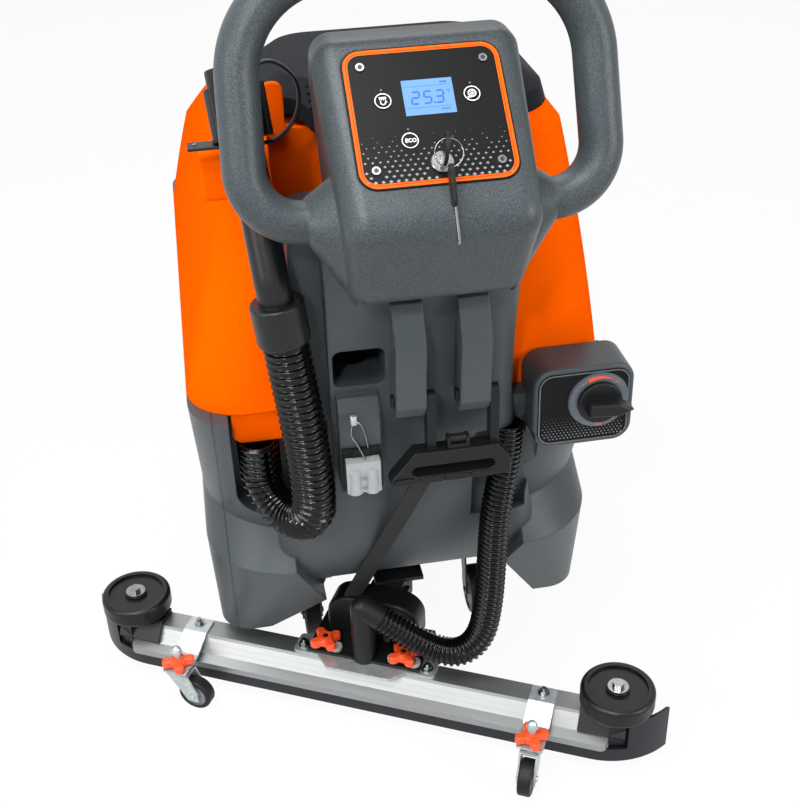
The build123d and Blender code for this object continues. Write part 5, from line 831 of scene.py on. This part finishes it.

# water valve print, and a painted highlight along the rim of the valve plate
valvePrint = {"face": 57.0, "middle": (214.0, 497.0), "half": (57.3, 49.3, 17.3), "rimHighlightWide": 1.7,
              "rimHighlightThick": 0.3, "knob": (232.0, 506.0), "collar": 38.0, "collarFace": 53.0, "collarEdge": 0.5,
              "ring": (29.0, 37.0), "film": 0.15, "scale": 33.4, "arc": (116, 62), "arcSteps": 18,
              "arcHalf": (3.1, 0.5), "scaleDots": (124, 130, 54, 48), "scaleDot": 0.9,
              "bars": [(x, -33.0, 1.2, 5.0) for x in (-3.0, 0.0, 3.0)],
              "dotPitch": 4.6, "dotRow": 4.0, "dotRows": 9, "dotColumns": 24, "dotRadius": 0.95,
              "dotFade": 0.8, "dotFirst": (6.0, 6.5), "dotCorner": 5.0, "dotClear": 2.0}


def valveSpot(x, z, rise):
    return spot(x, valvePrint["face"] - rise, z)


def taperedArc(x, y, setup):
    outside, inside = [], []
    start, end = setup["arc"]
    wide, thin = setup["arcHalf"]
    for i in range(setup["arcSteps"] + 1):
        share = i / setup["arcSteps"]
        turn = math.radians(start + (end - start) * share)
        half = (wide - thin) * (1 - share) + thin
        for points, radius in ((outside, setup["scale"] + half), (inside, setup["scale"] - half)):
            points.append((x + radius * math.cos(turn), y + radius * math.sin(turn)))
    return outside + inside[::-1]


def scaleShapes(x, y, setup):
    shapes = [(taperedArc(x, y, setup), None)]
    for turn in [math.radians(degrees) for degrees in setup["scaleDots"]]:
        dotX, dotY = x + setup["scale"] * math.cos(turn), y + setup["scale"] * math.sin(turn)
        shapes.append((circleOutline(dotX, dotY, setup["scaleDot"], count=12), None))
    return shapes + markShapes(setup, x, y)


def valveDots(setup):
    (x, z), (wide, tall, corner), (knobX, knobZ) = setup["middle"], setup["half"], setup["knob"]
    left, right, foot = x - wide, x + wide, z - tall
    firstX, firstZ = setup["dotFirst"]
    dots = []
    for row in range(setup["dotRows"]):
        radius = setup["dotRadius"] * (1 - row / setup["dotRows"]) ** setup["dotFade"]
        up = foot + firstZ + row * setup["dotRow"]
        for column in range(setup["dotColumns"]):
            across = left + firstX + (column + 0.5 * (row % 2)) * setup["dotPitch"]
            fromCorner = math.hypot(max(0, left + corner - across), max(0, foot + corner - up))
            fromKnob = math.hypot(across - knobX, up - knobZ)
            if fromCorner > corner - setup["dotCorner"] or across > right - firstX:
                continue
            if fromKnob >= setup["collar"] + setup["dotClear"]:
                dots.append((circleOutline(across, up, radius, count=10), None))
    return dots


def printValve(setup):
    x, z = setup["middle"]
    knobX, knobZ = setup["knob"]
    rimHighlightWide, film = setup["rimHighlightWide"], setup["film"]
    inside = [half - rimHighlightWide for half in setup["half"]]
    # a thin grey ring round the valve plate's edge: painted highlight of the housing rim
    rimHighlight = [(roundedOutline(x, z, *setup["half"]), roundedOutline(x, z, *inside))]
    prismPiece("valveRimHighlight", rimHighlight, valveSpot, 0.0, setup["rimHighlightThick"], "dialGrey", "panel_film", "base")
    step = setup["face"] - setup["collarFace"]
    inner, outer = [circleOutline(knobX, knobZ, radius, count=64) for radius in setup["ring"]]
    prismPiece("valveDial", [(outer, inner)], valveSpot, step, step + film, "dialGrey", "panel_film", "base")
    prismPiece("valveScale", scaleShapes(knobX, knobZ, setup), valveSpot, step + film, step + 2 * film,
               "printRed", "panel_film", "base")
    prismPiece("valveDots", valveDots(setup), valveSpot, 0.0, film, "printGrey", "panel_film", "base")
    split = {"centre": valveSpot(knobX, knobZ, 0.0), "axis": (0, 1, 0),
             "radius": (setup["collar"] + setup["collarEdge"]) / 1000}
    dressNode("valve_panel", splitFinish("valvePanelFinish", looks["dialGrey"], looks["panelFilm"], axleMask,
                                         split))


printValve(valvePrint)
print("valve printed")

# lever: finger pads on its lower bar, and the strap's adjuster on its top
leverSetup = {"rear": 19.0, "padZ": 445.4, "padHalf": (14.6, 4.2, 3.4), "padRise": (-0.5, 2.8),
              "padFirst": -16.0, "padStep": 31.0, "pads": 4, "padSoft": 1.8, "buckle": (49.0, 30.0, 484.0),
              "buckleHalf": (14.0, 8.0), "base": (-1.0, 5.0), "baseSoft": 1.2, "cheek": (5.0, 14.0),
              "cheekSoft": 1.6, "inset": 1.0, "roll": 5.6, "rollRise": 9.5, "rollSteps": 60, "ridge": 0.5,
              "ridgeTurn": 0.9}
blackParts = ("blackPlastic", "black_plastic")


def leverSpot(x, z, rise):
    return spot(x, leverSetup["rear"] - rise, z)


def blockPiece(name, low, high, finish, slot, body, edge):
    (x0, y0, z0), (x1, y1, z1) = low, high
    outline = [(x0, y0), (x1, y0), (x1, y1), (x0, y1)]
    piece = prismPiece(name, [(outline, None)], spot, z0, z1, finish, slot, body)
    soften(piece, edge, 3)


def dressLever(setup):
    for i in range(setup["pads"]):
        x = setup["padFirst"] + i * setup["padStep"]
        pad = prismPiece(f"leverPad{i + 1}", [(roundedOutline(x, setup["padZ"], *setup["padHalf"]), None)],
                         leverSpot, *setup["padRise"], *blackParts, "lever")
        soften(pad, setup["padSoft"], 4)
    x, y, z = setup["buckle"]
    halfX, halfY = setup["buckleHalf"]
    low, high = setup["base"]
    blockPiece("adjusterBase", (x - halfX, y - halfY, z + low), (x + halfX, y + halfY, z + high), *blackParts,
               "lever", setup["baseSoft"])
    thick, tall = setup["cheek"]
    inset = setup["inset"]
    for word, side in (("Left", -1), ("Right", 1)):
        inner, outer = sorted((x + side * (halfX - thick), x + side * halfX))
        blockPiece(f"adjusterCheek{word}", (inner, y - halfY + inset, z),
                   (outer, y + halfY - inset, z + tall), *blackParts, "lever", setup["cheekSoft"])
    reach, steps = halfX - inset, setup["rollSteps"]
    line = [spot(x - reach + 2 * reach * i / steps, y, z + setup["rollRise"]) for i in range(steps + 1)]

    def ridged(i, turn):
        return (setup["roll"] + setup["ridge"] * math.cos(i * setup["ridgeTurn"])) / 1000

    tubePiece("adjusterRoll", line, ridged, 20, (0, 1, 0), *blackParts, "lever")


dressLever(leverSetup)
print("lever dressed")

# small fittings: strap and tab of the drain cap, boss below it, dark sheets of painted shade in the screw
# recesses, and a dark line of painted shade down the body's left lobe where its rear and side faces turn
fittings = {"strap": [(-147, 121, 934), (-136, 124, 939), (-119, 126, 931), (-105, 127, 915),
                      (-102, 127, 895), (-108, 125, 871), (-126, 121, 854), (-140, 118, 850),
                      (-150, 115, 850)],
            "strapHalf": (2.0, 4.6), "tab": ((-228, 100, 853), (-184, 120, 857)), "tabSoft": 1.5,
            "rivet": (-220, 110, 2.4), "rivetRise": (857, 858), "boss": ((-219, 118, 786), (-180, 152, 838)),
            "bossSoft": 6.0, "screws": (63.3, 57.6), "socket": 2.5, "socketShadeRise": (3.5, 3.6),
            "plugScrews": ((-66, 451), (-66, 437)), "plugFace": 30.0, "plugRadius": 2.9,
            "plugRise": (-0.5, 0.4), "creaseShadeX": -240.0, "creaseShadeHalf": 0.9,
            "creaseShadeLook": dict(looks["greyShell"], colour=(36, 40, 42), fleck=(42, 46, 48))}


def plugSpot(x, z, rise):
    return spot(x, fittings["plugFace"] - rise, z)


def fitSmallPieces(setup):
    thin, wide = setup["strapHalf"]

    def oval(i, turn):
        return 0.001 / math.hypot(math.cos(turn) / thin, math.sin(turn) / wide)

    line = routeLine("capStrapLine", setup["strap"])
    tubePiece("capStrap", line, oval, 16, (0, 0, 1), *blackParts, "base")
    blockPiece("capTab", *setup["tab"], *blackParts, "base", setup["tabSoft"])
    rivet = [(circleOutline(*setup["rivet"], count=20), None)]
    prismPiece("capRivet", rivet, spot, *setup["rivetRise"], "stainless", "key_metal", "base")
    blockPiece("capBoss", *setup["boss"], "orangeShell", "orange_tank", "base", setup["bossSoft"])
    across, up = setup["screws"]
    # dark hexagons laid on the panel screws' stainless heads: painted shade of their socket recesses
    socketShades = [(circleOutline(x, y, setup["socket"], count=6), None)
               for x in (-across, across) for y in (-up, up)]
    prismPiece("screwSocketShades", socketShades, panelSpot, *setup["socketShadeRise"], "blackSteel", "key_metal", "base")
    heads = [(circleOutline(x, z, setup["plugRadius"], count=24), None) for x, z in setup["plugScrews"]]
    prismPiece("connectorScrews", heads, plugSpot, *setup["plugRise"], "stainless", "key_metal", "base")
    # a dark band at one x across the lower body: painted shade standing in for the crease between the left
    # lobe's rear and side faces
    creaseShade = {"direction": (1, 0, 0), "level": spot(setup["creaseShadeX"], 0, 0).x, "half": setup["creaseShadeHalf"] / 1000}
    dressNode("lower_body", splitFinish("lowerBodyFinish", looks["greyShell"], setup["creaseShadeLook"], bandMask,
                                        creaseShade))


fitSmallPieces(fittings)
print("small fittings added")

# floor and light
stageSetup = {"half": 14.0, "floorTone": (0.9, 0.9, 0.9, 1.0), "floorRough": 0.9, "shine": 0.94,
              "worldLevel": 0.06, "lowTone": 0.5, "fade": (-0.2, 0.7), "white": (1, 1, 1, 1)}
lamps = [
    {"name": "topLamp", "place": (-0.6, -0.9, 3.0), "aim": (0.0, 0.1, 0.5), "size": 1.8, "power": 80},
    {"name": "leftLamp", "place": (-2.6, -1.6, 1.7), "aim": (0.0, -0.1, 0.5), "size": 1.5, "power": 34},
    {"name": "rightLamp", "place": (2.4, -2.2, 1.6), "aim": (0.0, -0.2, 0.5), "size": 1.5, "power": 52},
    {"name": "frontLamp", "place": (0.4, 2.4, 3.6), "aim": (0.0, 0.2, 0.5), "size": 2.0, "power": 36},
    {"name": "glintLamp", "place": (-0.9, -2.6, 2.4), "aim": (0.0, -0.2, 0.5), "size": 0.3, "power": 30},
]


def mathNode(tree, operation, first, second, clamp=False):
    node = addNode(tree, "ShaderNodeMath", operation=operation, use_clamp=clamp)
    tree.links.new(first, node.inputs[0])
    tree.links.new(second, node.inputs[1])
    return node.outputs["Value"]


# rays that show the white ground and surroundings: straight, mirrored and through clear pieces
def seenRays(tree):
    rays = addNode(tree, "ShaderNodeLightPath").outputs
    seen = mathNode(tree, "ADD", rays["Is Camera Ray"], rays["Is Glossy Ray"], True)
    return mathNode(tree, "ADD", seen, rays["Is Transmission Ray"], True)


def layFloor(setup):
    half = setup["half"]
    corners = [(x * half, y * half, 0) for x, y in ((-1, -1), (1, -1), (1, 1), (-1, 1))]
    mesh = bpy.data.meshes.new("studioFloor")
    mesh.from_pydata(corners, [], [(0, 1, 2, 3)])
    floor = bpy.data.objects.new("studioFloor", mesh)
    bpy.context.scene.collection.objects.link(floor)
    material, tree, shader = newMaterial("studioFloor")
    shader.inputs["Base Color"].default_value = setup["floorTone"]
    shader.inputs["Roughness"].default_value = setup["floorRough"]
    glow = addNode(tree, "ShaderNodeEmission", Color=setup["white"], Strength=1.0)
    mix = addNode(tree, "ShaderNodeMixShader")
    tree.links.new(mapTo(tree, seenRays(tree), 0.0, setup["shine"]), mix.inputs["Fac"])
    tree.links.new(shader.outputs["BSDF"], mix.inputs[1])
    tree.links.new(glow.outputs["Emission"], mix.inputs[2])
    tree.links.new(mix.outputs["Shader"], tree.nodes["Material Output"].inputs["Surface"])
    mesh.materials.append(material)


def lightWorld(setup):
    world = bpy.data.worlds.new("studioWorld")
    bpy.context.scene.world = world
    world.use_nodes = True
    tree = world.node_tree
    background = tree.nodes["Background"]
    background.inputs["Color"].default_value = setup["white"]
    where = addNode(tree, "ShaderNodeTexCoord")
    split = addNode(tree, "ShaderNodeSeparateXYZ")
    tree.links.new(where.outputs["Generated"], split.inputs["Vector"])
    low, high = setup["fade"]
    level = setup["worldLevel"]
    fade = addNode(tree, "ShaderNodeMapRange", **{"From Min": low, "From Max": high,
                                                  "To Min": setup["lowTone"] * level, "To Max": level})
    tree.links.new(split.outputs["Z"], fade.inputs["Value"])
    strength = mathNode(tree, "MAXIMUM", fade.outputs["Result"], seenRays(tree))
    tree.links.new(strength, background.inputs["Strength"])


def hangLamp(setup):
    data = bpy.data.lights.new(setup["name"], "AREA")
    data.shape = "DISK"
    data.size = setup["size"]
    data.energy = setup["power"]
    lamp = bpy.data.objects.new(setup["name"], data)
    bpy.context.scene.collection.objects.link(lamp)
    place = Vector(setup["place"])
    lamp.location = place
    lamp.rotation_mode = "QUATERNION"
    lamp.rotation_quaternion = (Vector(setup["aim"]) - place).to_track_quat("-Z", "Y")


layFloor(stageSetup)
lightWorld(stageSetup)
for lampSetup in lamps:
    hangLamp(lampSetup)
print("stage lit:", len(lamps), "lamps")
